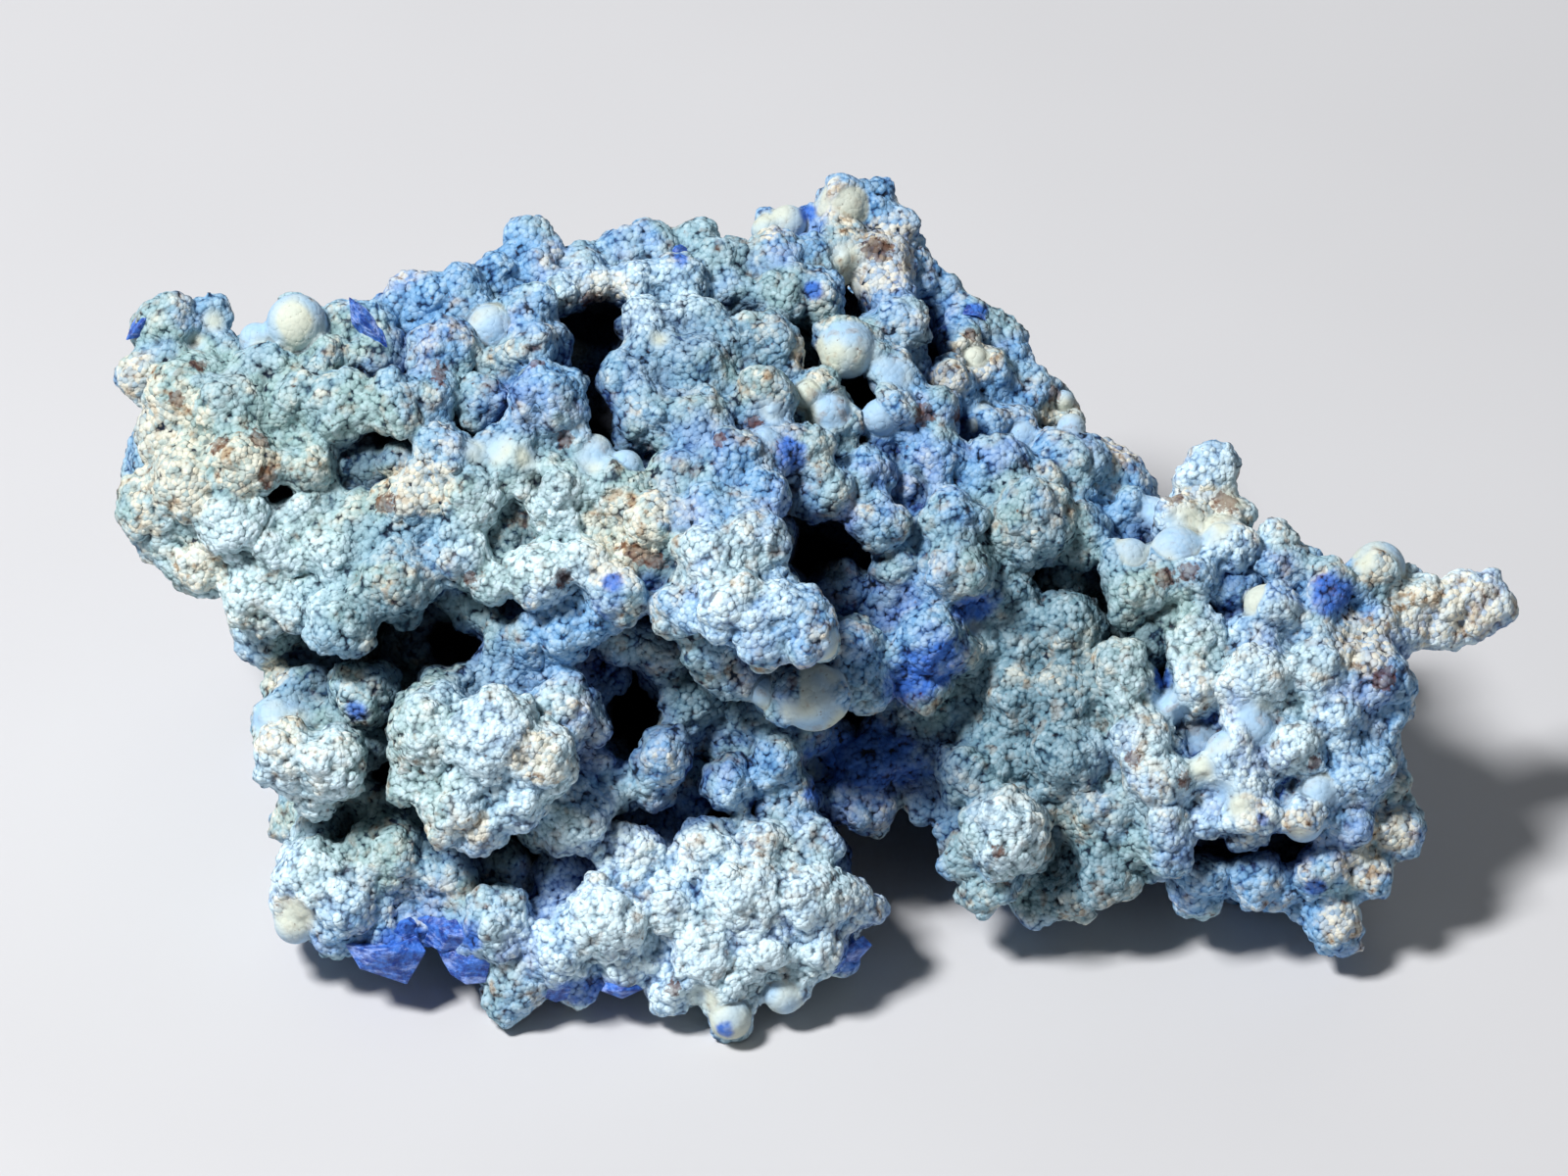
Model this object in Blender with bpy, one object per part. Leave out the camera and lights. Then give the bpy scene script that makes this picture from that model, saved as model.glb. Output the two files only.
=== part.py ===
"""Shattuckite: one lump of blue botryoidal crust, resting on its flat broken base.

Blender units are metres and the tables are in millimetres. +Z is up. The crusted face looks
towards -Y and leans back, and the origin is at the middle of the footprint, on the base.
Face places are (across, up, out): across is +X, up climbs the face and out leaves it.
"""

import math
import random

import bmesh
import bpy
from mathutils import Matrix, Vector

MM = 0.001
FACE_RISE = math.radians(40.0)
FACE_HEIGHT = 15.0
FOOTPRINT_SHIFT = (-1.75, -2.1)
SEED = 41

BODY_VOXEL = 0.45
CRUST_VOXEL = 0.4
LOBE_SWELL = 0.1
TRIANGLES = 9600
BACK_THINNING = 1.2
LUMP_SIZE = 2.4
LUMP_HEIGHT = 0.5
ROOT_STEPS = (1.1, 2.3)
ROOT_SHRINK = 0.84
BASE_CUT_SIZE = 120.0
BACK_KNOBS = 300
BACK_KNOB_RADII = (1.6, 3.0)
BACK_FACING = -0.25
BACK_DROOP = -0.3
SHARD_SIDES = 5
SHARD_TAPER = 0.35
SHARD_LENGTH = 1.6
SHARD_SHAPE = (0.8, 1.2, 0.8)

CRUST_COLOUR = (0.40, 0.60, 0.78, 1.0)
CRUST_ROUGHNESS = 0.85

# Inner masses as (x, y, height, half width, half depth, half height), standing on the base.
CORE = (
    (-13.5, 2.0, 5.0, 11.0, 11.5, 13.5),
    (0.5, 9.0, 5.0, 10.5, 10.5, 13.5),
    (20.0, 2.0, 4.5, 9.5, 7.2, 10.0),
    (-8.0, -8.5, 2.0, 10.0, 5.5, 5.0),
    (-19.5, -6.0, 2.0, 5.5, 4.0, 5.0),
    (0.0, 13.0, 14.5, 10.5, 7.5, 8.0),
    (-16.0, 7.0, 17.0, 10.5, 8.0, 6.5),
    (-26.5, 5.5, 16.5, 5.0, 5.5, 4.5),
    (11.0, 6.0, 4.5, 9.0, 8.0, 10.5),
    (-15.5, 12.5, 6.0, 9.5, 6.0, 13.0),
    (12.0, 11.0, 4.5, 9.0, 6.0, 9.5),
    (7.0, 12.0, 10.0, 8.0, 6.5, 8.0),
)

# Masses behind the lobes as (across, up, out, half width, half height, half depth).
BACKING = (
    (-22.5, -8.0, -0.5, 3.4, 4.2, 5.5),
    (-14.5, -8.0, 3.0, 5.0, 4.5, 4.0),
    (-2.5, 0.8, 3.0, 3.4, 4.2, 7.5),
    (-8.5, 14.6, -5.0, 6.0, 2.6, 4.0),
    (12.3, -13.2, -3.0, 3.0, 2.8, 5.0),
    (25.0, -13.2, -3.5, 5.0, 3.0, 4.0),
    (-21.5, -15.8, -1.0, 3.4, 1.8, 4.0),
    (27.5, -7.0, -3.0, 3.6, 6.0, 5.0),
    (-28.5, 4.5, -1.0, 3.6, 4.5, 4.0),
    (-5.0, -16.5, 1.0, 8.0, 3.5, 4.0),
)

# Lobes of the crust as (across, up, out, radius), by the part of the face that they grow on.
LOBES = {
    "left ledge": (
        (-32.3, 13.2, 0.5, 0.9), (-31.0, 13.2, 0.5, 1.2), (-29.6, 13.4, 0.5, 1.3),
        (-28.7, 12.0, 1.0, 1.3), (-32.4, 11.0, 1.5, 1.2), (-31.0, 11.6, 1.5, 1.5),
        (-30.0, 9.6, 2.5, 2.5), (-31.3, 7.8, 2.5, 1.6), (-28.0, 8.8, 3.5, 2.5),
        (-31.5, 4.3, 3.0, 2.1), (-29.8, 5.2, 4.0, 2.5), (-31.1, 2.7, 2.2, 1.8),
        (-27.3, 6.3, 5.6, 1.8), (-27.8, 3.4, 4.8, 2.2), (-29.2, 1.6, 2.8, 2.0),
        (-30.2, 0.9, 1.6, 1.1), (-24.3, 6.0, 4.8, 1.7), (-22.2, 9.2, 5.2, 1.8),
        (-19.6, 9.1, 5.8, 1.7), (-24.3, 9.4, 4.2, 2.0), (-17.8, 9.4, 5.2, 1.5),
        (-26.2, 10.7, 2.6, 2.0), (-23.4, 11.4, 2.6, 1.8), (-24.8, 13.2, 1.4, 1.5),
        (-26.9, 12.4, 0.8, 0.8), (-22.4, 13.3, 1.3, 1.3), (-20.9, 13.0, 1.8, 1.4),
    ),
    "left shoulder": (
        (-24.4, 3.9, 4.2, 2.0), (-21.5, 3.4, 4.4, 2.2), (-18.6, 4.4, 5.6, 2.1),
        (-15.9, 4.8, 6.2, 2.2), (-17.3, 6.8, 6.2, 1.6), (-13.8, 6.3, 5.8, 2.0),
        (-11.3, 4.6, 6.0, 2.3), (-8.8, 4.6, 6.0, 2.2), (-6.4, 3.3, 7.4, 1.8),
        (-22.4, 1.7, 5.2, 2.0), (-25.2, 1.8, 4.6, 1.9), (-19.6, 0.4, 6.4, 2.1),
        (-26.6, -0.2, 4.2, 1.8), (-24.8, -0.8, 4.8, 1.4), (-22.3, -1.8, 6.8, 1.6),
        (-16.3, 1.6, 6.4, 1.9), (-14.7, 0.7, 6.8, 1.3), (-12.2, 0.7, 7.4, 1.7),
        (-10.0, 1.2, 7.4, 1.6), (-8.3, -0.1, 8.2, 1.4), (-26.2, -1.9, 1.5, 1.9),
        (-23.0, -3.0, 0.0, 1.8),
    ),
    "upper rim": (
        (-18.6, 14.3, 0.2, 1.7), (-16.5, 14.5, 0.4, 1.8), (-14.9, 15.3, -0.8, 1.5),
        (-20.3, 13.9, 0.3, 1.2), (-17.2, 11.7, 3.2, 2.0), (-14.9, 13.2, 1.8, 1.5),
        (-13.1, 17.7, -2.6, 1.1), (-13.6, 16.8, -2.2, 1.0), (-12.3, 16.2, -1.8, 1.5),
        (-10.3, 16.2, -2.4, 1.4), (-8.4, 16.8, -3.4, 1.5), (-6.7, 17.2, -3.6, 1.5),
        (-11.4, 15.2, -0.6, 1.2), (-9.4, 15.4, -1.0, 1.1), (-7.6, 15.5, -1.0, 1.2),
        (-13.1, 13.6, 1.6, 1.6), (-12.9, 11.9, 3.2, 1.5), (-7.0, 13.2, 1.2, 1.4),
        (-14.4, 11.2, 3.2, 1.3), (-12.0, 9.3, 5.4, 2.0), (-10.1, 7.2, 5.6, 1.2),
        (-5.4, 15.6, -1.4, 1.5), (-3.2, 16.3, -3.0, 1.7), (-4.6, 17.4, -4.0, 1.4),
        (-2.4, 15.2, -2.4, 1.4), (-0.2, 16.4, -3.6, 1.9), (1.3, 16.6, -4.2, 1.6),
        (0.0, 14.9, -2.0, 1.5), (1.6, 15.0, -2.4, 1.4), (-0.6, 18.5, -6.0, 0.8),
        (0.7, 18.7, -6.6, 1.0), (2.9, 19.8, -6.2, 1.25), (4.4, 19.5, -7.0, 1.3),
        (5.3, 18.7, -7.0, 1.2), (3.2, 18.0, -5.6, 1.4), (4.9, 16.8, -5.2, 1.5),
        (2.9, 16.9, -4.6, 1.4), (6.3, 16.8, -6.6, 1.1), (6.9, 15.8, -6.6, 1.3),
        (8.2, 14.8, -7.0, 1.2), (5.4, 14.9, -4.2, 1.5), (9.4, 13.4, -6.4, 1.5),
        (10.7, 12.8, -7.0, 1.4), (11.4, 11.8, -6.6, 1.4),
    ),
    "upper face": (
        (-7.7, 10.3, 3.2, 1.7), (-6.5, 11.7, 2.2, 1.8), (-4.4, 10.9, 2.6, 2.0),
        (-6.7, 8.7, 4.2, 1.8), (-4.5, 8.3, 4.6, 2.0), (-4.6, 13.3, 0.6, 1.6),
        (-2.6, 12.0, 1.2, 1.7), (-0.9, 12.3, 1.0, 1.6), (5.8, 13.2, -2.0, 1.6),
        (8.9, 12.2, -4.4, 1.2), (10.1, 10.8, -4.4, 1.6), (12.5, 9.7, -5.6, 1.5),
        (8.4, 10.4, -2.6, 1.4), (3.2, 12.3, 0.2, 1.5), (1.7, 9.7, 1.8, 1.3),
        (5.3, 9.0, 1.6, 1.3), (5.6, 11.0, 0.0, 1.3), (2.5, 8.4, 2.2, 1.1),
        (14.3, 9.6, -6.2, 0.6), (14.7, 8.2, -5.6, 0.8), (10.3, 8.5, -2.4, 1.1),
        (12.0, 8.4, -3.0, 1.0), (-1.0, 9.5, 3.6, 1.6), (-0.8, 6.6, 5.2, 1.7),
        (1.0, 6.8, 4.6, 1.5), (-2.6, 6.1, 6.2, 1.9), (-5.2, 5.7, 6.2, 1.6),
        (-8.0, 6.1, 3.6, 1.0), (7.4, 8.6, 0.4, 1.5), (4.1, 5.3, 2.8, 1.7),
        (2.0, 5.0, 4.6, 1.4), (7.3, 6.5, 0.6, 2.0), (10.8, 5.6, 0.2, 2.2),
        (14.5, 5.9, -1.6, 2.3), (16.9, 5.1, -2.6, 1.8), (16.2, 6.4, -3.4, 1.2), (14.6, 2.6, 0.0, 2.2),
        (17.8, 3.7, -1.4, 1.5), (19.3, 3.6, -0.6, 1.0),
    ),
    "middle ridge": (
        (-3.5, 1.4, 9.0, 2.2), (-1.6, 2.4, 9.0, 1.8), (-1.2, 4.5, 7.8, 1.3),
        (-3.6, 3.9, 7.8, 1.8), (-4.9, -0.8, 8.6, 1.6), (-2.6, -0.7, 10.2, 2.0),
        (-0.5, -1.0, 10.6, 1.5), (-1.0, -2.6, 10.6, 1.3), (0.9, -1.5, 10.8, 1.3),
        (1.5, -2.7, 11.2, 1.2), (0.3, 0.3, 8.8, 1.0), (-3.8, -2.8, 7.2, 1.4),
        (-2.7, -4.4, 6.2, 1.1), (0.8, -5.4, 6.6, 1.4), (2.1, -5.4, 6.4, 1.4),
        (-0.8, -5.2, 5.6, 1.2), (4.0, -5.0, 4.2, 1.4), (3.3, -3.2, 4.4, 1.5),
    ),
    "hollow right of the ridge": (
        (3.0, -0.1, 1.4, 1.4), (5.4, -0.5, 2.0, 1.7), (7.3, -2.7, 3.6, 1.9),
        (5.6, -3.3, 3.2, 1.6), (7.0, -4.7, 2.8, 1.5), (8.6, -2.9, 2.6, 1.5),
        (4.6, 3.3, 4.2, 1.3), (6.0, 1.0, 2.8, 1.6), (8.6, 1.0, 3.6, 1.9),
        (8.4, 3.3, 2.8, 1.8), (12.4, 3.3, 1.8, 2.3), (10.7, -0.2, 1.4, 2.0),
        (4.5, -8.9, 0.8, 1.7), (6.6, -8.4, 0.6, 1.7), (2.3, -8.3, 0.4, 1.2),
        (8.3, -6.4, 0.4, 1.6), (3.2, -10.7, 1.0, 1.0), (4.7, -11.3, 1.0, 0.9),
        (7.3, -10.8, 0.6, 1.0), (5.8, -6.3, 0.4, 1.5), (9.6, -4.6, 0.8, 1.5),
    ),
    "knobs under the ridge": (
        (-4.9, -5.8, 2.2, 2.0), (-3.2, -7.9, 1.8, 1.1), (-4.7, -7.4, 1.6, 1.4),
        (-6.1, -8.5, 4.4, 1.4), (-6.9, -9.7, 3.8, 1.3), (-2.8, -9.8, 4.2, 1.2),
        (-0.4, -8.8, 3.6, 1.4), (0.3, -10.8, 2.6, 1.6), (-4.9, -10.6, 1.6, 1.4),
        (-1.4, -6.8, 2.4, 1.6), (1.0, -7.4, 2.2, 1.3),
    ),
    "under the shoulder": (
        (-16.1, -0.6, 4.2, 1.5), (-14.0, -2.0, 5.0, 1.2), (-12.7, -2.6, 5.8, 1.3),
        (-10.9, -2.2, 6.2, 1.5), (-9.3, -1.2, 7.0, 1.3), (-8.2, -2.6, 4.4, 1.3),
        (-16.9, -4.0, 4.0, 1.4), (-14.3, -4.2, 4.8, 1.4), (-6.3, -2.9, 3.4, 1.8),
    ),
    "lower left block": (
        (-24.6, -4.7, 1.4, 1.7), (-21.3, -5.4, 4.4, 1.6), (-25.4, -7.0, 3.4, 1.5), (-25.3, -5.4, 1.6, 1.0),
        (-24.9, -8.5, 5.8, 1.7), (-22.8, -8.8, 6.4, 1.6), (-23.7, -10.2, 4.8, 1.3),
        (-20.3, -10.8, 2.4, 1.2), (-17.3, -7.3, 6.8, 2.5), (-14.6, -7.6, 7.8, 2.5),
        (-12.3, -8.6, 7.8, 2.0), (-18.5, -9.2, 5.8, 1.7), (-16.2, -11.0, 7.2, 1.8),
        (-15.3, -11.7, 6.8, 1.4), (-13.4, -10.3, 7.4, 1.7), (-11.4, -6.2, 5.8, 2.0),
        (-10.1, -6.9, 5.4, 1.2), (-12.0, -4.9, 4.4, 1.9), (-16.8, -5.2, 5.0, 1.6),
        (-10.7, -11.5, 4.8, 2.0), (-9.5, -9.2, 3.8, 1.3), (-8.6, -10.6, 3.6, 1.2),
        (-12.6, -12.2, 4.2, 1.2),
    ),
    "foot": (
        (-23.9, -12.5, 1.8, 1.2), (-23.6, -14.9, 3.2, 2.2), (-24.8, -16.5, 2.8, 1.2), (-23.2, -17.0, 3.0, 1.2),
        (-22.3, -15.9, 3.8, 1.9), (-20.0, -13.7, 3.2, 2.3), (-17.3, -14.7, 3.2, 1.9),
        (-14.5, -17.1, 4.4, 2.0), (-13.2, -19.6, 3.8, 1.6), (-14.1, -20.9, 3.6, 0.9),
        (-11.3, -18.2, 4.4, 2.0), (-9.0, -16.9, 5.2, 2.2), (-8.0, -18.8, 4.2, 1.6),
        (-11.5, -15.6, 3.0, 1.6), (-7.7, -13.9, 3.8, 1.9), (-5.9, -16.2, 4.4, 2.2),
        (-3.8, -13.7, 4.2, 2.0), (-1.0, -13.4, 4.2, 1.9), (1.5, -13.2, 3.8, 1.4),
        (-2.0, -15.5, 5.2, 2.2), (1.0, -15.7, 4.8, 2.1), (3.0, -16.0, 3.8, 1.5),
        (4.2, -16.2, 3.2, 0.8), (-4.0, -18.2, 4.8, 2.0), (-1.3, -18.2, 4.8, 1.8),
        (1.3, -17.9, 4.2, 1.7), (-5.3, -19.7, 4.2, 1.5), (-3.1, -20.2, 4.6, 1.4),
        (-2.7, -21.7, 4.4, 1.1), (0.0, -20.4, 4.2, 1.1), (2.7, -18.3, 2.8, 1.2),
        (-10.5, -19.8, 3.4, 1.3), (-18.2, -16.9, 3.4, 1.2),
    ),
    "right lobe, left side": (
        (12.0, -2.1, 1.0, 2.0), (14.3, -2.2, 1.4, 2.0), (12.0, -5.5, 1.4, 2.3),
        (14.3, -5.4, 2.6, 1.6), (17.2, -4.2, 3.6, 1.4), (17.3, -5.8, 3.4, 1.4),
        (11.2, -8.0, 1.0, 2.2), (14.5, -8.5, 2.6, 2.3), (9.3, -9.4, 2.2, 1.6),
        (10.9, -9.0, 2.4, 1.2), (11.3, -12.3, 3.6, 2.2), (9.7, -13.4, 2.0, 1.4),
        (9.1, -12.1, 1.4, 1.1), (10.8, -14.7, 2.0, 1.4), (16.5, -11.3, 2.0, 2.3),
        (16.3, -14.0, 1.6, 1.8), (14.8, -15.5, 0.8, 1.2), (13.2, -16.1, 0.4, 0.9),
        (14.0, -11.6, 1.2, 1.8), (12.4, -15.4, 0.4, 1.0),
    ),
    "right lobe": (
        (18.3, -7.6, 3.8, 1.8), (19.0, -9.6, 4.2, 1.7), (19.2, -6.2, 3.2, 1.2),
        (19.4, -12.0, 4.4, 1.1), (19.6, -13.4, 4.0, 0.9), (18.6, -13.0, 3.4, 0.9),
        (22.6, -8.6, 4.4, 1.5), (23.5, -7.0, 4.4, 1.3), (25.7, -8.2, 4.4, 1.4),
        (21.2, -9.4, 4.0, 1.3), (21.0, -5.0, 3.4, 1.8), (24.0, -4.6, 3.8, 2.1),
        (27.0, -4.2, 3.4, 2.0), (29.7, -4.6, 2.8, 1.9), (30.8, -5.8, 1.8, 1.2),
        (21.0, -2.7, 2.8, 1.7), (24.0, -2.5, 2.8, 1.7), (27.0, -2.2, 2.4, 1.8),
        (29.7, -2.6, 1.8, 1.7), (24.9, -1.1, 3.6, 1.2), (27.7, 0.0, 2.4, 1.2),
        (17.4, 1.2, 2.2, 1.3), (19.6, 1.3, 2.4, 1.4), (22.5, 1.9, 1.8, 1.5),
        (20.7, 0.5, 2.8, 1.3), (20.4, 3.2, 0.6, 1.4), (22.5, 3.4, 0.2, 1.3),
        (21.8, 6.2, -0.8, 1.1), (21.0, 5.4, -0.8, 0.8), (21.8, 4.7, -0.6, 1.1),
        (25.1, 1.3, 1.2, 1.2), (26.4, 0.8, 1.0, 1.2), (18.0, -0.4, 2.8, 1.4),
        (27.8, -6.6, 3.4, 1.9), (29.9, -7.3, 2.2, 1.5), (28.9, -9.4, 3.2, 1.9),
        (30.7, -10.3, 1.8, 1.2), (27.3, -10.4, 4.2, 1.2), (26.3, -11.5, 4.4, 1.1),
        (28.5, -12.0, 3.0, 1.4), (31.0, -12.4, 1.8, 1.3), (29.4, -14.2, 1.6, 1.5),
        (23.2, -10.2, 4.4, 1.3), (23.5, -11.5, 4.8, 1.1), (22.2, -11.9, 4.2, 0.9),
        (21.3, -14.8, 1.8, 1.2), (24.1, -14.8, 1.8, 1.4), (25.6, -15.3, 1.4, 1.1),
        (27.3, -14.4, 2.4, 1.4), (28.1, -16.8, 1.6, 1.2), (27.0, -16.3, 1.0, 0.9),
        (18.6, -14.2, 1.6, 0.8), (22.8, -14.4, 0.0, 1.4), (30.2, -8.8, 1.4, 1.4),
    ),
}

# The spike and its ball stand clear of the mass behind them, so they have no roots.
SPIKE = (
    (30.1, 0.9, 1.2, 1.3), (29.8, -0.9, 0.8, 1.6), (31.3, -0.7, 0.6, 1.3),
    (32.7, -0.8, 0.4, 1.3), (34.3, -0.8, 0.2, 1.3), (35.6, -0.9, 0.0, 1.1),
    (36.5, -0.7, 0.0, 0.7), (33.1, -2.0, 0.2, 1.0), (34.7, -1.8, 0.0, 0.8),
    (31.4, -2.1, 0.8, 1.3),
)

# Broken angular edges along the foot as (across, up, out, size, turn in degrees).
SHARDS = (
    (-20.2, -17.9, 3.6, 1.7, 20.0),
    (-19.4, -18.9, 3.8, 1.1, 25.0),
    (-16.6, -17.8, 4.0, 1.7, 25.0),
    (-15.7, -19.0, 3.8, 1.3, 15.0),
    (-21.7, -17.4, 3.0, 1.3, 0.0),
    (3.0, -18.4, 2.4, 1.2, 30.0),
    (-21.1, 13.6, 2.4, 0.9, 35.0),
)

# Hollows as (across, up, out, half width, half height, half depth).
HOLLOWS = (
    (-9.7, 13.5, 0.5, 1.8, 0.9, 3.8),
    (-9.4, 9.2, 4.0, 0.7, 2.0, 4.5),
    (7.5, 11.5, -3.0, 0.7, 1.6, 4.5),
    (4.0, 9.6, 1.5, 0.9, 0.9, 3.0),
    (2.1, 1.6, 6.0, 2.0, 2.0, 8.5),
    (-7.7, -6.4, 4.5, 1.3, 2.3, 9.0),
    (-17.2, -2.8, 5.5, 1.7, 1.3, 5.5),
    (-20.6, 6.9, 6.5, 2.0, 1.1, 5.0),
    (-25.6, 4.9, 6.5, 0.8, 0.8, 3.0),
    (-12.5, 5.3, 8.0, 0.6, 0.6, 2.5),
    (-13.9, -1.0, 7.0, 1.0, 0.8, 3.5),
    (-8.0, -11.7, 4.0, 1.0, 0.6, 4.0),
    (-3.4, -11.4, 4.0, 0.9, 0.6, 4.0),
    (-1.7, -9.2, 4.5, 0.6, 0.6, 3.0),
    (18.3, -1.6, 4.5, 0.9, 0.7, 3.0),
    (19.1, -4.6, 5.0, 0.8, 0.7, 2.5),
    (23.4, -13.1, 4.5, 3.0, 0.8, 5.0),
    (-12.6, -13.9, 6.5, 4.2, 0.6, 4.0),
    (14.0, -12.6, 4.5, 0.5, 1.6, 3.0),
    (-24.3, -3.5, 5.0, 2.8, 0.8, 4.0),
    (-20.4, -9.4, 6.0, 0.7, 1.6, 4.5),
    (-19.4, -3.4, 5.5, 1.6, 0.6, 3.5),
)


def face_frame() -> Matrix:
    """The turn from face places to the part's own axes."""
    return Matrix.Rotation(math.pi / 2 - FACE_RISE, 4, "X")


def from_face(across: float, up: float, out: float) -> Vector:
    """A place on the face, in millimetres of the part's own frame."""
    place = face_frame() @ Vector((across, up, out))
    return place + Vector((*FOOTPRINT_SHIFT, FACE_HEIGHT))


def add_ball(mesh: bmesh.types.BMesh, centre: Vector, radius: float) -> None:
    """Add one round lobe."""
    place = Matrix.Translation(centre * MM) @ Matrix.Scale(radius * MM, 4)
    bmesh.ops.create_icosphere(mesh, subdivisions=2, radius=1.0, matrix=place)


def add_swell(mesh: bmesh.types.BMesh, centre: Vector, halves: Vector, turn: Matrix) -> None:
    """Add one ellipsoid with its own three half sizes."""
    stretch = Matrix.Diagonal((*(halves * MM), 1.0))
    place = Matrix.Translation(centre * MM) @ turn @ stretch
    bmesh.ops.create_icosphere(mesh, subdivisions=3, radius=1.0, matrix=place)


def add_rooted_lobe(mesh: bmesh.types.BMesh, lobe: tuple) -> None:
    """Add a lobe with smaller balls behind it that root it in the mass."""
    across, up, out, radius = lobe
    add_ball(mesh, from_face(across, up, out), radius + LOBE_SWELL)
    shrunk = radius
    for step in ROOT_STEPS:
        shrunk *= ROOT_SHRINK
        add_ball(mesh, from_face(across, up, out - step * radius), shrunk)


def add_shard(mesh: bmesh.types.BMesh, shard: tuple) -> None:
    """Add one broken, flat-sided corner that tapers towards one end."""
    across, up, out, size, turn = shard
    spin = face_frame() @ Matrix.Rotation(math.radians(turn), 4, "Z")
    place = Matrix.Translation(from_face(across, up, out) * MM) @ spin
    shape = Matrix.Diagonal((*(Vector(SHARD_SHAPE) * size * MM), 1.0))
    bmesh.ops.create_cone(
        mesh,
        cap_ends=True,
        segments=SHARD_SIDES,
        radius1=1.0,
        radius2=SHARD_TAPER,
        depth=SHARD_LENGTH,
        matrix=place @ shape @ Matrix.Rotation(math.pi / 2, 4, "X"),
    )


def add_back_knobs(mesh: bmesh.types.BMesh) -> None:
    """Grow round knobs over the sides of the inner masses that the crusted face hides."""
    draw = random.Random(SEED)
    out_of_face = face_frame() @ Vector((0.0, 0.0, 1.0))
    placed = 0
    while placed < BACK_KNOBS:
        x, y, height, wide, deep, tall = draw.choice(CORE)
        way = Vector([draw.gauss(0.0, 1.0) for _ in range(3)]).normalized()
        if way.dot(out_of_face) > BACK_FACING or way.z < BACK_DROOP:
            continue
        centre = Vector((x + way.x * wide, y + way.y * deep, height + way.z * tall))
        radius = draw.uniform(*BACK_KNOB_RADII)
        add_ball(mesh, centre + Vector((*FOOTPRINT_SHIFT, 0.0)), radius)
        placed += 1


def object_of(name: str, mesh: bmesh.types.BMesh) -> bpy.types.Object:
    """A scene object that holds the mesh."""
    data = bpy.data.meshes.new(name)
    mesh.to_mesh(data)
    mesh.free()
    made = bpy.data.objects.new(name, data)
    bpy.context.scene.collection.objects.link(made)
    return made


def settle(made: bpy.types.Object) -> None:
    """Turn the object's modifiers into its mesh."""
    graph = bpy.context.evaluated_depsgraph_get()
    made.data = bpy.data.meshes.new_from_object(made.evaluated_get(graph))
    made.modifiers.clear()


def fuse(made: bpy.types.Object, voxel: float) -> None:
    """Join everything in the object into one skin."""
    skin = made.modifiers.new("fuse", "REMESH")
    skin.mode = "VOXEL"
    skin.voxel_size = voxel * MM
    settle(made)


def hide_cutter(cutter: bpy.types.Object) -> None:
    """Keep a cutter out of the finished part."""
    cutter.hide_render = True
    cutter.display_type = "WIRE"


def cut(made: bpy.types.Object, cutter: bpy.types.Object) -> None:
    """Take the cutter's volume away from the object."""
    knife = made.modifiers.new(cutter.name, "BOOLEAN")
    knife.operation = "DIFFERENCE"
    knife.solver = "EXACT"
    knife.object = cutter


def grown_mass() -> bpy.types.Object:
    """Inner masses, lobes, spike, shards and back knobs, fused into one skin."""
    mesh = bmesh.new()
    for x, y, height, wide, deep, tall in CORE:
        centre = Vector((x, y, height)) + Vector((*FOOTPRINT_SHIFT, 0.0))
        add_swell(mesh, centre, Vector((wide, deep, tall)), Matrix.Identity(4))
    for across, up, out, wide, tall, deep in BACKING:
        add_swell(mesh, from_face(across, up, out), Vector((wide, tall, deep)), face_frame())
    for lobes in LOBES.values():
        for lobe in lobes:
            add_rooted_lobe(mesh, lobe)
    for across, up, out, radius in SPIKE:
        add_ball(mesh, from_face(across, up, out), radius + LOBE_SWELL)
    for shard in SHARDS:
        add_shard(mesh, shard)
    add_back_knobs(mesh)
    made = object_of("shattuckite", mesh)
    fuse(made, BODY_VOXEL)
    return made


def hollows_cutter() -> bpy.types.Object:
    """The dark hollows of the face, as one cutter."""
    mesh = bmesh.new()
    for across, up, out, wide, tall, deep in HOLLOWS:
        add_swell(mesh, from_face(across, up, out), Vector((wide, tall, deep)), face_frame())
    cutter = object_of("hollows", mesh)
    fuse(cutter, BODY_VOXEL / 2)
    hide_cutter(cutter)
    return cutter


def base_cutter() -> bpy.types.Object:
    """The slab that leaves the base flat at height 0."""
    mesh = bmesh.new()
    size = BASE_CUT_SIZE * MM
    bmesh.ops.create_cube(mesh, size=size, matrix=Matrix.Translation((0.0, 0.0, -size / 2)))
    cutter = object_of("base_plane", mesh)
    hide_cutter(cutter)
    return cutter


def roughen(made: bpy.types.Object) -> None:
    """Swell the skin in rounded lumps between the placed lobes."""
    lumps = bpy.data.textures.new("lumps", "CLOUDS")
    lumps.noise_scale = LUMP_SIZE * MM
    lumps.noise_depth = 1
    push = made.modifiers.new("lumps", "DISPLACE")
    push.texture = lumps
    push.texture_coords = "LOCAL"
    push.strength = LUMP_HEIGHT * MM
    push.mid_level = 0.5
    settle(made)


def weigh_back(made: bpy.types.Object) -> bpy.types.VertexGroup:
    """Mark how far each point of the skin faces away from the crusted face."""
    out_of_face = face_frame() @ Vector((0.0, 0.0, 1.0))
    group = made.vertex_groups.new(name="back")
    for point in made.data.vertices:
        group.add([point.index], 0.5 - 0.5 * point.normal.dot(out_of_face), "REPLACE")
    return group


def thin(made: bpy.types.Object) -> None:
    """Bring the skin down to its triangle budget, with the finest triangles on the face."""
    made.data.calc_loop_triangles()
    thinned = made.modifiers.new("thin", "DECIMATE")
    thinned.ratio = TRIANGLES / len(made.data.loop_triangles)
    thinned.use_collapse_triangulate = True
    thinned.vertex_group = weigh_back(made).name
    thinned.vertex_group_factor = BACK_THINNING
    settle(made)
    made.vertex_groups.clear()


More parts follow.
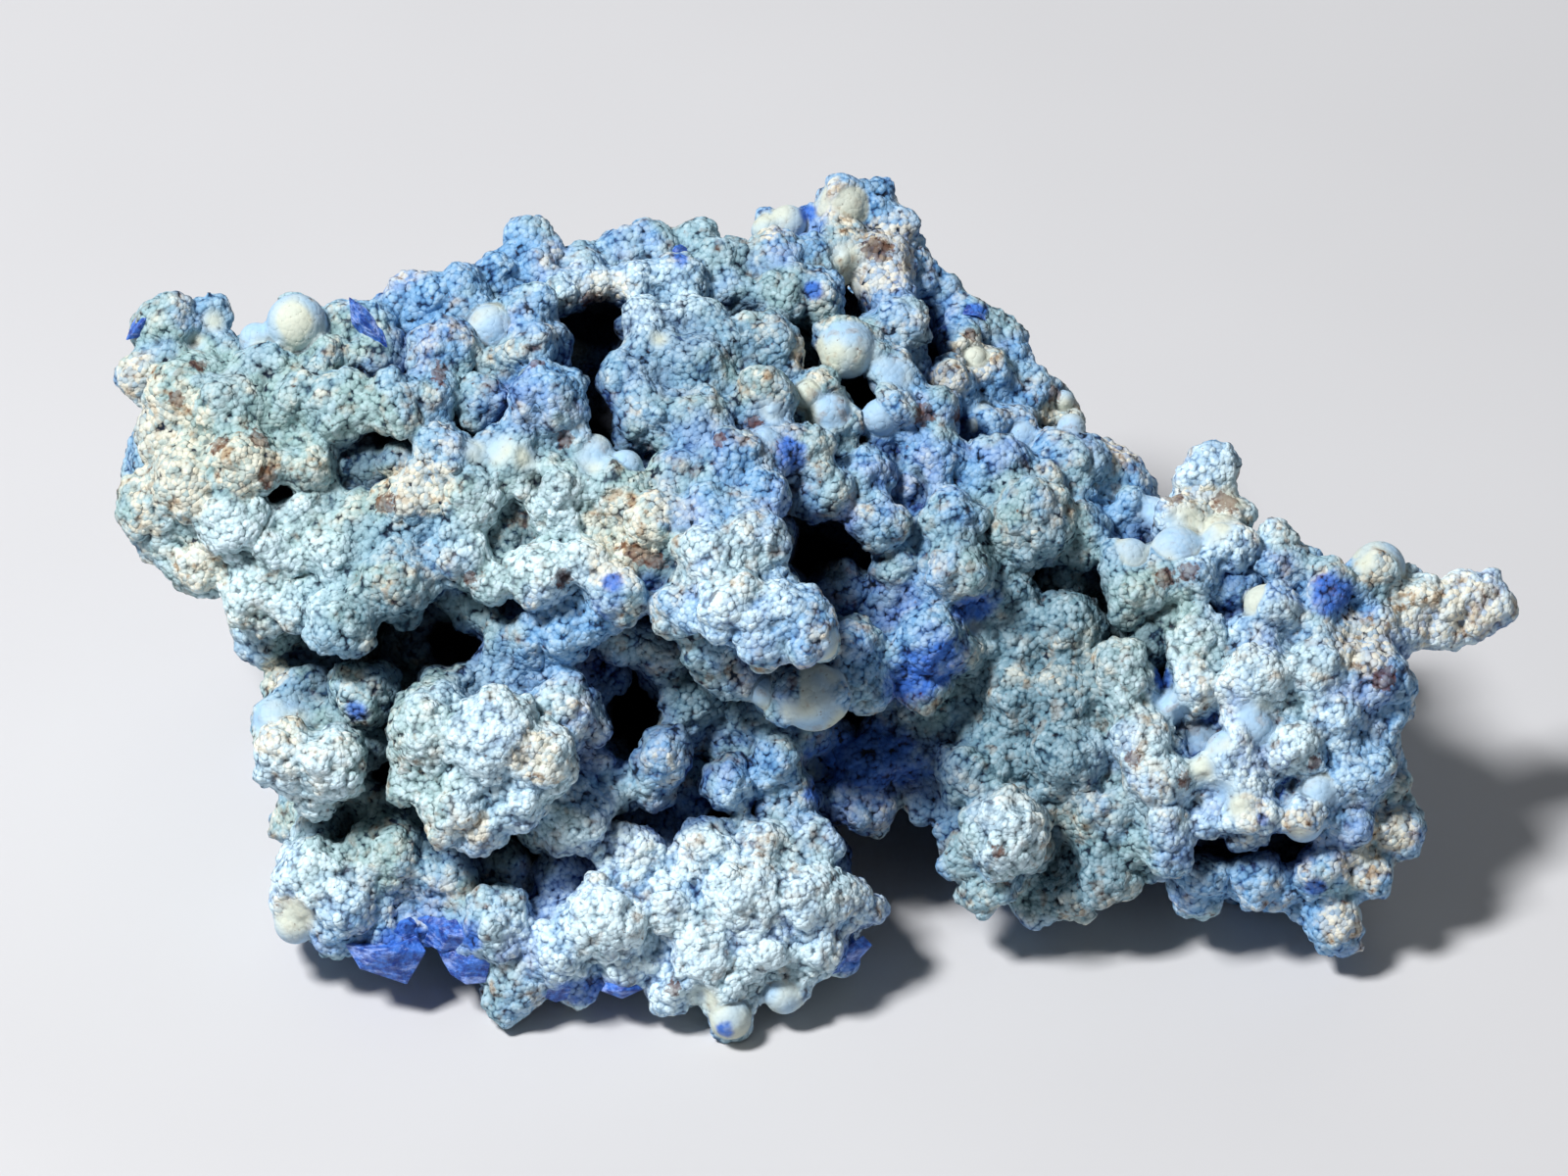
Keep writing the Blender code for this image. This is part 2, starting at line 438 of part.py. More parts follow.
def crust_material() -> bpy.types.Material:
    """Pale blue dull mineral crust."""
    made = bpy.data.materials.new("crust")
    made.use_nodes = True
    shader = made.node_tree.nodes["Principled BSDF"]
    shader.inputs["Base Color"].default_value = CRUST_COLOUR
    shader.inputs["Roughness"].default_value = CRUST_ROUGHNESS
    shader.inputs["Metallic"].default_value = 0.0
    return made


def main() -> None:
    """Build the specimen in an emptied scene."""
    for old in list(bpy.data.objects):
        bpy.data.objects.remove(old, do_unlink=True)
    specimen = grown_mass()
    cut(specimen, hollows_cutter())
    settle(specimen)
    fuse(specimen, CRUST_VOXEL)
    roughen(specimen)
    thin(specimen)
    cut(specimen, base_cutter())
    specimen.data.materials.append(crust_material())


if __name__ == "__main__":
    main()
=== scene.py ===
"""Looks of the shattuckite lump: a granular blue crust, smooth pale balls and deep blue broken corners.

Tables are in millimetres on the crusted face: across is +X, up climbs the face and out leaves it.
"""

import logging
import math
import random
from dataclasses import dataclass, field
from enum import Enum

import bmesh
import bpy
import numpy as np
from mathutils import Matrix, Vector
from mathutils.bvhtree import BVHTree


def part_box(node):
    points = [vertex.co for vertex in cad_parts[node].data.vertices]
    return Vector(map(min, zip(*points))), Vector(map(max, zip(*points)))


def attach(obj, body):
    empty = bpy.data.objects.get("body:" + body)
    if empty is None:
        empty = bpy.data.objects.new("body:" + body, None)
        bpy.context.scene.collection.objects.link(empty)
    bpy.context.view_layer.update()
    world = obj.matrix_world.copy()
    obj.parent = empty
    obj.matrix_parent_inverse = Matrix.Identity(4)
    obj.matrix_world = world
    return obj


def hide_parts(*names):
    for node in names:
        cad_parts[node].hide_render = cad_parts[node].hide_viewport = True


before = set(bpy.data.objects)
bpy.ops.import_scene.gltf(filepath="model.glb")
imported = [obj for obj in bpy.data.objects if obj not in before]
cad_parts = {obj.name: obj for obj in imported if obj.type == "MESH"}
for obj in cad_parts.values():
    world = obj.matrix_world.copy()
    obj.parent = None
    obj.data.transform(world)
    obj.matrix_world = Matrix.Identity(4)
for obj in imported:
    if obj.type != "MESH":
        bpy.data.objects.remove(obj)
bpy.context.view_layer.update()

MM = 0.001
LOG = logging.getLogger("shattuckite")
WELD = 0.01
Colour = tuple[float, float, float, float]


def paint(red: float, green: float, blue: float) -> Colour:
    """Turn a colour as a screen shows it, from 0 to 1, into the linear colour that shaders take.

    Args:
        red: Red as shown.
        green: Green as shown.
        blue: Blue as shown.

    Returns:
        The linear colour with full cover.
    """
    linear = [((c + 0.055) / 1.055) ** 2.4 if c > 0.04045 else c / 12.92 for c in (red, green, blue)]
    return (linear[0], linear[1], linear[2], 1.0)


@dataclass(frozen=True)
class Face:
    """The crusted face: a plane that leans back from the viewer, as the solid has it."""

    rise: float = math.radians(40.0)
    origin: tuple[float, float, float] = (-1.75, -2.1, 15.0)
    above: float = 60.0

    def turn(self) -> Matrix:
        """The turn from face directions to the part's own."""
        return Matrix.Rotation(math.pi / 2 - self.rise, 3, "X")

    def place(self, across: float, up: float, out: float = 0.0) -> Vector:
        """A place on the face, in metres of the part's own frame."""
        return (self.turn() @ Vector((across, up, out)) + Vector(self.origin)) * MM

    def outward(self) -> Vector:
        """The direction that leaves the face."""
        return self.turn() @ Vector((0.0, 0.0, 1.0))

    def flatten(self, points: np.ndarray) -> np.ndarray:
        """Turn points of the part into face places.

        Args:
            points: Places in metres, one a row.

        Returns:
            Across, up and out in millimetres, one a row.
        """
        return (points / MM - np.array(self.origin)) @ np.array(self.turn())

    def level(self, lump: bpy.types.Object, across: float, up: float) -> float | None:
        """Find how far out of the face a lump reaches at a place.

        Args:
            lump: The lump.
            across: Where along the face.
            up: Where up the face.

        Returns:
            The level in millimetres, or None where the lump isn't there.
        """
        found, place, _, _ = lump.ray_cast(self.place(across, up, self.above), -self.outward())
        return self.flatten(np.array([place]))[0, 2] if found else None


FACE = Face()


class Mark(Enum):
    """What a patch of the crust shows, named as the attribute that carries it."""

    RUST = "rust"
    CREAM = "cream"
    ROYAL = "royal"
    AQUA = "aqua"
    DULL = "dull"
    # painted light: patches where the crust is painted paler, as though more brightly lit
    BRIGHT = "bright"
    SHADE = "shade"
    SMOOTH = "smooth"


@dataclass(frozen=True)
class Patch:
    """A soft-edged patch on the crusted face.

    Its place is (across, up), its half sizes are wide and tall, and it reaches deep into the lump.
    """

    across: float
    up: float
    wide: float
    tall: float = 0.0
    turn: float = 0.0
    deep: float = 0.0
    strength: float = 1.0

    def weights(self, places: np.ndarray, out: float) -> np.ndarray:
        """Weigh face places by how far inside the patch they are.

        Args:
            places: Across, up and out in millimetres, one a row.
            out: How far out of the face the patch's middle is.

        Returns:
            The strength in the middle to 0 at the edge and past it.
        """
        tall = self.tall or self.wide
        deep = self.deep or 1.4 * max(self.wide, tall)
        lean = math.radians(self.turn)
        across = places[:, 0] - self.across
        up = places[:, 1] - self.up
        along = (across * math.cos(lean) + up * math.sin(lean)) / self.wide
        over = (up * math.cos(lean) - across * math.sin(lean)) / tall
        through = (places[:, 2] - out) / deep
        near = np.clip(1.4 - 1.4 * np.sqrt(along**2 + over**2 + through**2), 0.0, 1.0)
        return self.strength * near * near * (3.0 - 2.0 * near)

@dataclass(frozen=True)
class Ball:
    """A round ball in the crust, at (across, up) with its radius.

    Its top stands proud of the surface around it, or below it where proud is less than 0.
    """

    across: float
    up: float
    radius: float
    proud: float = 0.35
    ring: int = 8
    ring_reach: float = 1.15

    def centre(self, lump: bpy.types.Object) -> Vector:
        """Find where the ball's middle lies, from the middle level of the surface around it.

        Args:
            lump: The lump that carries it.

        Returns:
            The middle, in metres.
        """
        places = [(self.across, self.up)]
        reach = self.ring_reach * self.radius
        for i in range(self.ring):
            turn = i * math.tau / self.ring
            places.append((self.across + reach * math.cos(turn), self.up + reach * math.sin(turn)))
        found = [FACE.level(lump, across, up) for across, up in places]
        levels = sorted(level for level in found if level is not None)
        middle = levels[len(levels) // 2] if levels else 0.0
        return FACE.place(self.across, self.up, middle + self.proud - self.radius)


class Wire:
    """A number that a node gives out, for use in arithmetic."""

    def __init__(self, tree: "Tree", socket: bpy.types.NodeSocket) -> None:
        """Keep the socket and the tree that it is in."""
        self.tree = tree
        self.socket = socket

    def _do(self, operation: str, *values: object, clamp: bool = False) -> "Wire":
        """Add one Math node.

        Args:
            operation: The Math node's operation.
            values: Its inputs in order.
            clamp: Whether the result is kept from 0 to 1.

        Returns:
            The result.
        """
        settings = {"operation": operation, "use_clamp": clamp}
        made = self.tree.add("ShaderNodeMath", settings, dict(enumerate(values)))
        return Wire(self.tree, made.outputs[0])

    def __add__(self, other: "Wire | float") -> "Wire":
        """This plus the other."""
        return self._do("ADD", self, other)

    __radd__ = __add__

    def __sub__(self, other: "Wire | float") -> "Wire":
        """This less the other."""
        return self._do("SUBTRACT", self, other)

    def __rsub__(self, other: float) -> "Wire":
        """The other less this."""
        return self._do("SUBTRACT", other, self)

    def __mul__(self, other: "Wire | float") -> "Wire":
        """This times the other."""
        return self._do("MULTIPLY", self, other)

    __rmul__ = __mul__

    def __truediv__(self, other: "Wire | float") -> "Wire":
        """This over the other."""
        return self._do("DIVIDE", self, other)

    def __pow__(self, power: float) -> "Wire":
        """This to a power."""
        return self._do("POWER", self, power)

    def clamp(self) -> "Wire":
        """This kept from 0 to 1."""
        return self._do("ADD", self, 0.0, clamp=True)

    def most(self, other: "Wire | float") -> "Wire":
        """The larger of this and the other."""
        return self._do("MAXIMUM", self, other)

    def least(self, other: "Wire | float") -> "Wire":
        """The smaller of this and the other."""
        return self._do("MINIMUM", self, other)

    def ramp(self, low: float, high: float) -> "Wire":
        """Rise smoothly from 0 at low to 1 at high.

        Args:
            low: The value that gives 0.
            high: The value that gives 1.

        Returns:
            The risen value.
        """
        settings = {"interpolation_type": "SMOOTHSTEP"}
        values = {"Value": self, "From Min": low, "From Max": high}
        made = self.tree.add("ShaderNodeMapRange", settings, values)
        return Wire(self.tree, made.outputs[0])


class Tree:
    """A node tree that is being made."""

    def __init__(self, nodes: bpy.types.NodeTree) -> None:
        """Keep the tree and clear it."""
        self.nodes = nodes
        nodes.nodes.clear()

    def add(
        self, kind: str, settings: dict | None = None, values: dict | None = None
    ) -> bpy.types.Node:
        """Add a node.

        Args:
            kind: The node's type.
            settings: Its properties, which are set first.
            values: Its inputs by name or number: a constant, a socket or a Wire.

        Returns:
            The node.
        """
        made = self.nodes.nodes.new(kind)
        for name, setting in (settings or {}).items():
            setattr(made, name, setting)
        for name, value in (values or {}).items():
            socket = made.inputs[name] if isinstance(name, int) else self._input(made, name)
            self.give(socket, value)
        return made

    def give(self, socket: bpy.types.NodeSocket, value: object) -> None:
        """Set an input to a constant, or link it.

        Args:
            socket: The input.
            value: A constant, a socket or a Wire.
        """
        if isinstance(value, Wire):
            value = value.socket
        if isinstance(value, bpy.types.NodeSocket):
            self.nodes.links.new(value, socket)
        else:
            socket.default_value = value

    @staticmethod
    def _input(node: bpy.types.Node, name: str) -> bpy.types.NodeSocket:
        """The node's first input of that name that is in use."""
        return next(s for s in node.inputs if s.name == name and s.enabled)

    def vector(
        self, operation: str, first: object, second: object = None, scale: object = None
    ) -> object:
        """Add a Vector Math node.

        Args:
            operation: Its operation.
            first: Its first vector.
            second: Its second vector, if it has one.
            scale: Its scale, if it has one.

        Returns:
            The vector socket.
        """
        values = {0: first}
        if second is not None:
            values[1] = second
        if scale is not None:
            values["Scale"] = scale
        return self.add("ShaderNodeVectorMath", {"operation": operation}, values).outputs[0]

    def noise(self, where: object, scale: float, detail: float = 3.0, roughness: float = 0.55) -> Wire:
        """Cloudy noise from 0 to 1.

        Args:
            where: The place vector.
            scale: Features in each unit of it.
            detail: How many finer layers it has.
            roughness: How strong they are.

        Returns:
            The noise.
        """
        values = {"Vector": where, "Scale": scale, "Detail": detail, "Roughness": roughness}
        return Wire(self, self.add("ShaderNodeTexNoise", {}, values).outputs[0])

    def cells(self, where: object, scale: "float | Wire") -> tuple[Wire, bpy.types.NodeSocket]:
        """A pattern of round cells.

        Args:
            where: The place vector.
            scale: Cells in each unit of it.

        Returns:
            The distance from each cell's middle, in cells, and a colour that each cell has.
        """
        made = self.add("ShaderNodeTexVoronoi", {}, {"Vector": where, "Scale": scale})
        return Wire(self, made.outputs["Distance"]), made.outputs["Color"]

    def in_millimetres(self, place: object) -> object:
        """Turn a place in metres into millimetres."""
        return self.vector("SCALE", place, scale=1.0 / MM)

    def bent(self, where: object, scale: float, reach: float) -> object:
        """Bend places by a noise, so that a pattern on them isn't even.

        Args:
            where: The place vector.
            scale: The noise's scale.
            reach: How far places move.

        Returns:
            The bent place vector.
        """
        values = {"Vector": where, "Scale": scale, "Detail": 0.0}
        waves = self.add("ShaderNodeTexNoise", {}, values).outputs["Color"]
        centred = self.vector("SUBTRACT", waves, (0.5, 0.5, 0.5))
        return self.vector("ADD", where, self.vector("SCALE", centred, scale=reach))


class PaintTree(Tree):
    """A material's node tree, with the place on the piece in metres and, as where, in millimetres."""

    def __init__(self, name: str) -> None:
        """Make the material.

        Args:
            name: The material's name.
        """
        self.material = bpy.data.materials.new(name)
        self.material.use_nodes = True
        super().__init__(self.material.node_tree)
        self.place = self.add("ShaderNodeTexCoord").outputs["Object"]
        self.where = self.in_millimetres(self.place)

    def attribute(self, name: str, output: str = "Fac") -> Wire:
        """A named attribute of the mesh, as a number or by another of the node's outputs."""
        settings = {"attribute_type": "GEOMETRY", "attribute_name": name}
        return Wire(self, self.add("ShaderNodeAttribute", settings).outputs[output])

    def parts(self, name: str) -> list[Wire]:
        """The three numbers of a named vector attribute."""
        made = self.add("ShaderNodeSeparateXYZ", {}, {0: self.attribute(name, "Vector")})
        return [Wire(self, part) for part in made.outputs]

    def mix(self, factor: Wire, first: object, second: object) -> bpy.types.NodeSocket:
        """Mix two colours."""
        values = {0: factor, 6: first, 7: second}
        return self.add("ShaderNodeMix", {"data_type": "RGBA"}, values).outputs[2]

    def bump(self, height: Wire, relief: float) -> bpy.types.NodeSocket:
        """The normal of a surface with a height on it, of which 1 is the relief in millimetres."""
        values = {"Height": height, "Distance": relief * MM}
        return self.add("ShaderNodeBump", {}, values).outputs[0]

    def close(self, values: dict[str, object]) -> bpy.types.Material:
        """End the tree with its shader.

        Args:
            values: The shader's inputs by name.

        Returns:
            The material.
        """
        shader = self.add("ShaderNodeBsdfPrincipled", {}, values)
        self.add("ShaderNodeOutputMaterial", {}, {"Surface": shader.outputs[0]})
        return self.material


class ShapeTree(Tree):
    """A Geometry Nodes tree with one geometry in, one out, and named sizes."""

    KINDS = {
        float: "NodeSocketFloat",
        int: "NodeSocketInt",
        "object": "NodeSocketObject",
        "material": "NodeSocketMaterial",
    }

    def __init__(self, name: str, sizes: dict[str, object]) -> None:
        """Make the group.

        Args:
            name: The group's name.
            sizes: The type of each further input, by name.
        """
        group = bpy.data.node_groups.new(name, "GeometryNodeTree")
        super().__init__(group)
        group.interface.new_socket("Geometry", in_out="INPUT", socket_type="NodeSocketGeometry")
        for label, kind in {**sizes, "Finish": "material"}.items():
            group.interface.new_socket(label, in_out="INPUT", socket_type=self.KINDS[kind])
        group.interface.new_socket("Geometry", in_out="OUTPUT", socket_type="NodeSocketGeometry")
        self.entry = group.nodes.new("NodeGroupInput")
        self.exit = group.nodes.new("NodeGroupOutput")

    def size(self, name: str) -> Wire:
        """A named input."""
        return Wire(self, self.entry.outputs[name])

    def store(self, shape: object, name: str, value: object, kind: str = "FLOAT") -> object:
        """Store a value on each vertex or point.

        Args:
            shape: The geometry.
            name: The name that it is stored under.
            value: The value.
            kind: Its type, as the node names it.

        Returns:
            The geometry with it.
        """
        settings = {"data_type": kind, "domain": "POINT"}
        values = {"Geometry": shape, "Name": name, "Value": value}
        return self.add("GeometryNodeStoreNamedAttribute", settings, values).outputs[0]

    def stored(self, name: str) -> Wire:
        """A number that is stored under a name."""
        made = self.add("GeometryNodeInputNamedAttribute", {"data_type": "FLOAT"}, {"Name": name})
        return Wire(self, made.outputs[0])

    def bulge(self, steps: str) -> Wire:
        """Measure how far each place stands proud of the surface when that is evened out.

        Args:
            steps: The input that says how often it is evened out.

        Returns:
            The height over it in metres.
        """
        place = self.add("GeometryNodeInputPosition").outputs[0]
        values = {"Value": place, "Iterations": self.entry.outputs[steps]}
        even = self.add("GeometryNodeBlurAttribute", {"data_type": "FLOAT_VECTOR"}, values).outputs[0]
        normal = self.add("GeometryNodeInputNormal").outputs[0]
        gap = self.vector("SUBTRACT", place, even)
        made = self.add("ShaderNodeVectorMath", {"operation": "DOT_PRODUCT"}, {0: gap, 1: normal})
        return Wire(self, made.outputs["Value"])

    def close_raised(self, rise: Wire) -> None:
        """End the tree with its surface raised, but nowhere moved below the ground.

        Args:
            rise: How far each place goes outwards, in metres.
        """
        place = self.add("GeometryNodeInputPosition").outputs[0]
        normal = self.add("GeometryNodeInputNormal").outputs[0]
        moved = self.vector("ADD", place, self.vector("SCALE", normal, scale=rise))
        parts = self.add("ShaderNodeSeparateXYZ", {}, {0: moved}).outputs
        level = Wire(self, parts[2]).most(0.0)
        moved = self.add("ShaderNodeCombineXYZ", {}, {0: parts[0], 1: parts[1], 2: level}).outputs[0]
        values = {"Geometry": self.entry.outputs["Geometry"], "Position": moved}
        self.close(self.add("GeometryNodeSetPosition", {}, values).outputs[0])

    def close(self, shape: object) -> None:
        """End the tree with its instances made real and its material set."""
        real = self.add("GeometryNodeRealizeInstances", {}, {0: shape}).outputs[0]
        values = {"Geometry": real, "Material": self.entry.outputs["Finish"]}
        self.give(self.exit.inputs[0], self.add("GeometryNodeSetMaterial", {}, values).outputs[0])

    def put_on(self, thing: bpy.types.Object, **sizes: object) -> None:
        """Put the tree on an object as a modifier.

        Args:
            thing: The object.
            sizes: The named inputs, with _ for a space.
        """
        modifier = thing.modifiers.new(self.nodes.name, "NODES")
        modifier.node_group = self.nodes
        for item in self.nodes.interface.items_tree:
            wanted = item.name.replace(" ", "_")
            if item.in_out == "INPUT" and wanted in sizes:
                modifier[item.identifier] = sizes[wanted]


def new_object(name: str, mesh: bpy.types.Mesh) -> bpy.types.Object:
    """Put a mesh in the scene as an object at the origin.

    Args:
        name: The object's name.
        mesh: Its mesh.

    Returns:
        The object.
    """
    made = bpy.data.objects.new(name, mesh)
    bpy.context.scene.collection.objects.link(made)
    return made


def object_from(name: str, mesh: bmesh.types.BMesh) -> bpy.types.Object:
    """Turn a mesh that is being made into an object at the origin, and free it.

    Args:
        name: The name of the object and of its mesh.
        mesh: The mesh that is being made.

    Returns:
        The object.
    """
    data = bpy.data.meshes.new(name)
    mesh.to_mesh(data)
    mesh.free()
    return new_object(name, data)


def merged_copy(solid: bpy.types.Object) -> bmesh.types.BMesh:
    """Copy a solid's mesh and merge its loose triangles.

    Args:
        solid: The solid, which is left as it is.

    Returns:
        The copy, as a mesh that is being made.
    """
    mesh = bmesh.new()
    mesh.from_mesh(solid.data)
    bmesh.ops.remove_doubles(mesh, verts=mesh.verts, dist=WELD * MM)
    mesh.normal_update()
    return mesh


def settle(thing: bpy.types.Object) -> None:
    """Turn an object's modifiers into its plain mesh.

    Args:
        thing: The object.
    """
    bpy.context.view_layer.update()
    graph = bpy.context.evaluated_depsgraph_get()
    mesh = bpy.data.meshes.new_from_object(thing.evaluated_get(graph))
    thing.modifiers.clear()
    old = thing.data
    thing.data = mesh
    mesh.name = thing.name
    bpy.data.meshes.remove(old)


def points_of(mesh: bpy.types.Mesh) -> np.ndarray:
    """A mesh's vertices, one a row, in metres."""
    flat = np.empty(len(mesh.vertices) * 3, np.float32)
    mesh.vertices.foreach_get("co", flat)
    return flat.reshape(-1, 3).astype(float)


def keep(mesh: bpy.types.Mesh, name: str, values: np.ndarray) -> None:
    """Store one number for each vertex as a named attribute."""
    layer = mesh.attributes.get(name) or mesh.attributes.new(name, "FLOAT", "POINT")
    layer.data.foreach_set("value", values.astype(np.float32))


def triangles_of(mesh: bpy.types.Mesh) -> int:
    """How many triangles a mesh has."""
    mesh.calc_loop_triangles()
    return len(mesh.loop_triangles)


@dataclass(frozen=True)
class CrustSigns:
    """What the crust's colour follows from place to place.

    Clouds and stains are wide patterns, height is how high the granules stand, and each differs from
    granule to granule. Crease and cavity say how deep in a fine crease and in a hollow the place is,
    shut how closed in it is, and proud how far it stands in the open.
    """

    marks: dict[Mark, Wire]
    clouds: list[Wire]
    stains: list[Wire]
    height: Wire
    each: Wire
    crease: Wire
    cavity: Wire
    shut: Wire
    proud: Wire


@dataclass(frozen=True)
class CrustFinish:
    """The dull granular crust: pale granules, partly painted highlight, over darker blue painted shade,
    with cream, rust and royal blue.
    """

    sky: Colour = paint(0.38, 0.60, 0.79)
    lilac: Colour = paint(0.40, 0.56, 0.79)
    aqua: Colour = paint(0.55, 0.68, 0.68)
    dull: Colour = paint(0.34, 0.50, 0.58)
    # pale tips of the granules, partly painted highlight
    pale_tip_and_highlight: Colour = paint(0.85, 0.94, 0.98)
    # painted shade: deep and the colour after it are the blue and the green that low places and hollows
    # are darkened towards
    deep: Colour = paint(0.07, 0.21, 0.48)
    shaded_green: Colour = paint(0.12, 0.25, 0.33)
    # painted shade: the near black of creases, hollows and closed-in places
    painted_shade: Colour = paint(0.015, 0.035, 0.08)
    # painted shade between the granules
    gap: Colour = paint(0.05, 0.12, 0.20)
    cream: Colour = paint(0.91, 0.88, 0.79)
    tan: Colour = paint(0.64, 0.53, 0.39)
    rust: Colour = paint(0.38, 0.20, 0.08)
    royal: Colour = paint(0.19, 0.42, 0.80)
    # painted shade of the royal blue, for the low places between granules
    shaded_royal: Colour = paint(0.05, 0.12, 0.38)
    ivory: Colour = paint(0.82, 0.84, 0.77)
    pearl: Colour = paint(0.64, 0.78, 0.90)
    pebble: float = 0.72
    granule: float = 0.28
    relief: float = 0.24
    roughness: float = 0.86
    shine: float = 0.3

    def make(self, name: str) -> bpy.types.Material:
        """Make the material.

        Args:
            name: The material's name.

        Returns:
            The material.
        """
        tree = PaintTree(name)
        marks = {mark: tree.attribute(mark.value) for mark in Mark}
        rough = 1.0 - 0.7 * marks[Mark.SMOOTH]
        near, _ = tree.cells(tree.where, 1.0 / self.pebble)
        lumps = (1.0 - (near * 1.15) ** 2.0).most(0.0)
        near, tint = tree.cells(tree.where, 1.0 / self.granule)
        domes = (1.0 - (near * 1.1) ** 2.0).most(0.0) ** 0.6
        fine = tree.noise(tree.where, 5.5, 1.0)
        height = (0.52 * domes + 0.38 * lumps + 0.2 * fine) * rough + 0.75 * (1.0 - rough)
        cavity = tree.attribute("cavity")
        shut = tree.attribute("shut")
        signs = CrustSigns(
            marks=marks,
            clouds=tree.parts("clouds"),
            stains=tree.parts("stains"),
            height=height,
            each=Wire(tree, tree.add("ShaderNodeSeparateColor", {}, {0: tint}).outputs[0]),
            crease=tree.attribute("crease"),
            cavity=cavity,
            shut=shut,
            proud=(1.0 - cavity.ramp(-0.5, 0.5)) * (1.0 - shut.ramp(0.2, 0.6)),
        )
        colour = self._darken(tree, signs, self._stain(tree, signs, self._ground(tree, signs)))
        values = {
            "Base Color": colour,
            "Roughness": (self.roughness - 0.2 * marks[Mark.SMOOTH]).clamp(),
            "Normal": tree.bump(height, self.relief),
            "Specular IOR Level": self.shine,
        }
        return tree.close(values)

    def _ground(self, tree: PaintTree, signs: CrustSigns) -> bpy.types.NodeSocket:
        """Mix the blues and greens of the granules, painted shade where they lie low, pale tips partly
        painted highlight, and the smooth places.

        Args:
            tree: The material's tree.
            signs: What the colour follows.

        Returns:
            The colour.
        """
        marks, clouds = signs.marks, signs.clouds
        green = marks[Mark.AQUA] * 0.9 + clouds[1].ramp(0.46, 0.62) * 0.7 + marks[Mark.DULL] * 0.8
        green = green.clamp()
        base = tree.mix(clouds[0].ramp(0.48, 0.62), self.sky, self.lilac)
        base = tree.mix(green, base, self.aqua)
        base = tree.mix(marks[Mark.DULL] * 0.9, base, self.dull)
        # painted shade: low places between granules, wide hollows and closed-in places are darkened
        # towards the shaded blue or green, with a little random darkening from the stains
        low = (1.0 - signs.height).ramp(0.25, 0.75) * 0.8 + signs.cavity.ramp(0.0, 0.9) * 0.4
        low = low + signs.shut.ramp(0.2, 0.65) * 0.6 + signs.stains[0].ramp(0.5, 0.68) * 0.2
        base = tree.mix(low.clamp(), base, tree.mix(green, self.deep, self.shaded_green))
        # pale granule tops, partly their own colour and partly painted highlight, stronger in the open
        # and in the painted-light patches
        high = signs.height.ramp(0.5, 0.9) * (0.3 + 0.7 * signs.each)
        high = high * (0.42 + 0.58 * marks[Mark.BRIGHT]) * (0.3 + 0.9 * signs.proud)
        base = tree.mix((high + marks[Mark.BRIGHT] * signs.proud * 0.4).clamp(), base, self.pale_tip_and_highlight)
        pearly = (clouds[2].ramp(0.4, 0.6) - marks[Mark.CREAM]).clamp()
        return tree.mix(marks[Mark.SMOOTH] * 0.85, base, tree.mix(pearly, self.ivory, self.pearl))

    def _stain(self, tree: PaintTree, signs: CrustSigns, base: object) -> bpy.types.NodeSocket:
        """Lay cream, tan, royal blue with painted shade in its low places, and rust over the crust.

        Args:
            tree: The material's tree.
            signs: What the colour follows.
            base: The colour under them.

        Returns:
            The colour.
        """
        marks, stains, height = signs.marks, signs.stains, signs.height
        worn = signs.clouds[2].ramp(0.47, 0.61) * stains[1].ramp(0.40, 0.58) * signs.proud * 0.8
        worn = worn + (marks[Mark.CREAM] * 1.4 + 2.5 * (stains[1] - 0.5) - 0.3).ramp(0.0, 0.7)
        worn = worn.clamp() * (1.0 - 0.8 * marks[Mark.SMOOTH])
        base = tree.mix(worn * (0.2 + 0.65 * signs.each), base, self.cream)
        tanned = (worn * 0.8 + signs.clouds[1].ramp(0.44, 0.60) * 0.5) * stains[2].ramp(0.53, 0.64)
        tanned = tanned * (1.2 - 0.6 * height)
        base = tree.mix(tanned.clamp() * 0.8, base, self.tan)
        blue = marks[Mark.ROYAL] * 1.35 - 2.0 * (stains[0] - 0.5) - 0.5 * height - 0.05
        # royal blue on the granule tops and its painted shade in the low places between them
        royal = tree.mix(height.ramp(0.3, 0.8), self.shaded_royal, self.royal)
        base = tree.mix(blue.ramp(0.0, 1.1) * 0.95, base, royal)
        flecks = tree.noise(tree.where, 3.0, 2.0, 0.7)
        spots = (marks[Mark.RUST] * 1.4 + 3.5 * (flecks - 0.5) - 0.5).ramp(0.0, 0.5)
        spots = spots + tanned * flecks.ramp(0.50, 0.62)
        return tree.mix((spots * (1.3 - 0.7 * height)).clamp() * 0.85, base, self.rust)

    def _darken(self, tree: PaintTree, signs: CrustSigns, base: object) -> bpy.types.NodeSocket:
        """Paint shade into the gaps between granules, the creases and the hollows.

        Args:
            tree: The material's tree.
            signs: What the colour follows.
            base: The colour before.

        Returns:
            The colour.
        """
        shade = signs.marks[Mark.SHADE]
        # painted shade between the granules, uneven, less where the crust stands in the open and in the
        # painted-light patches
        gap_shade = (1.0 - signs.height).ramp(0.38, 0.66) * (0.2 + 1.4 * signs.stains[1].ramp(0.40, 0.60))
        gap_shade = gap_shade * (1.1 - 0.65 * signs.proud) * (1.0 - 0.4 * signs.marks[Mark.BRIGHT])
        base = tree.mix(gap_shade.clamp(), base, self.gap)
        # painted shade in fine creases and wide hollows
        dark = signs.crease.ramp(0.2, 1.2) * 0.5 + signs.cavity.ramp(0.3, 1.1) * 0.65
        base = tree.mix(dark.clamp(), base, self.painted_shade)
        # painted shade in closed-in places and in the shade patches
        hollow_shade = signs.shut.ramp(0.55, 0.9) * (0.35 + 0.6 * shade) + shade * 0.35
        return tree.mix(hollow_shade.clamp(), base, self.painted_shade)


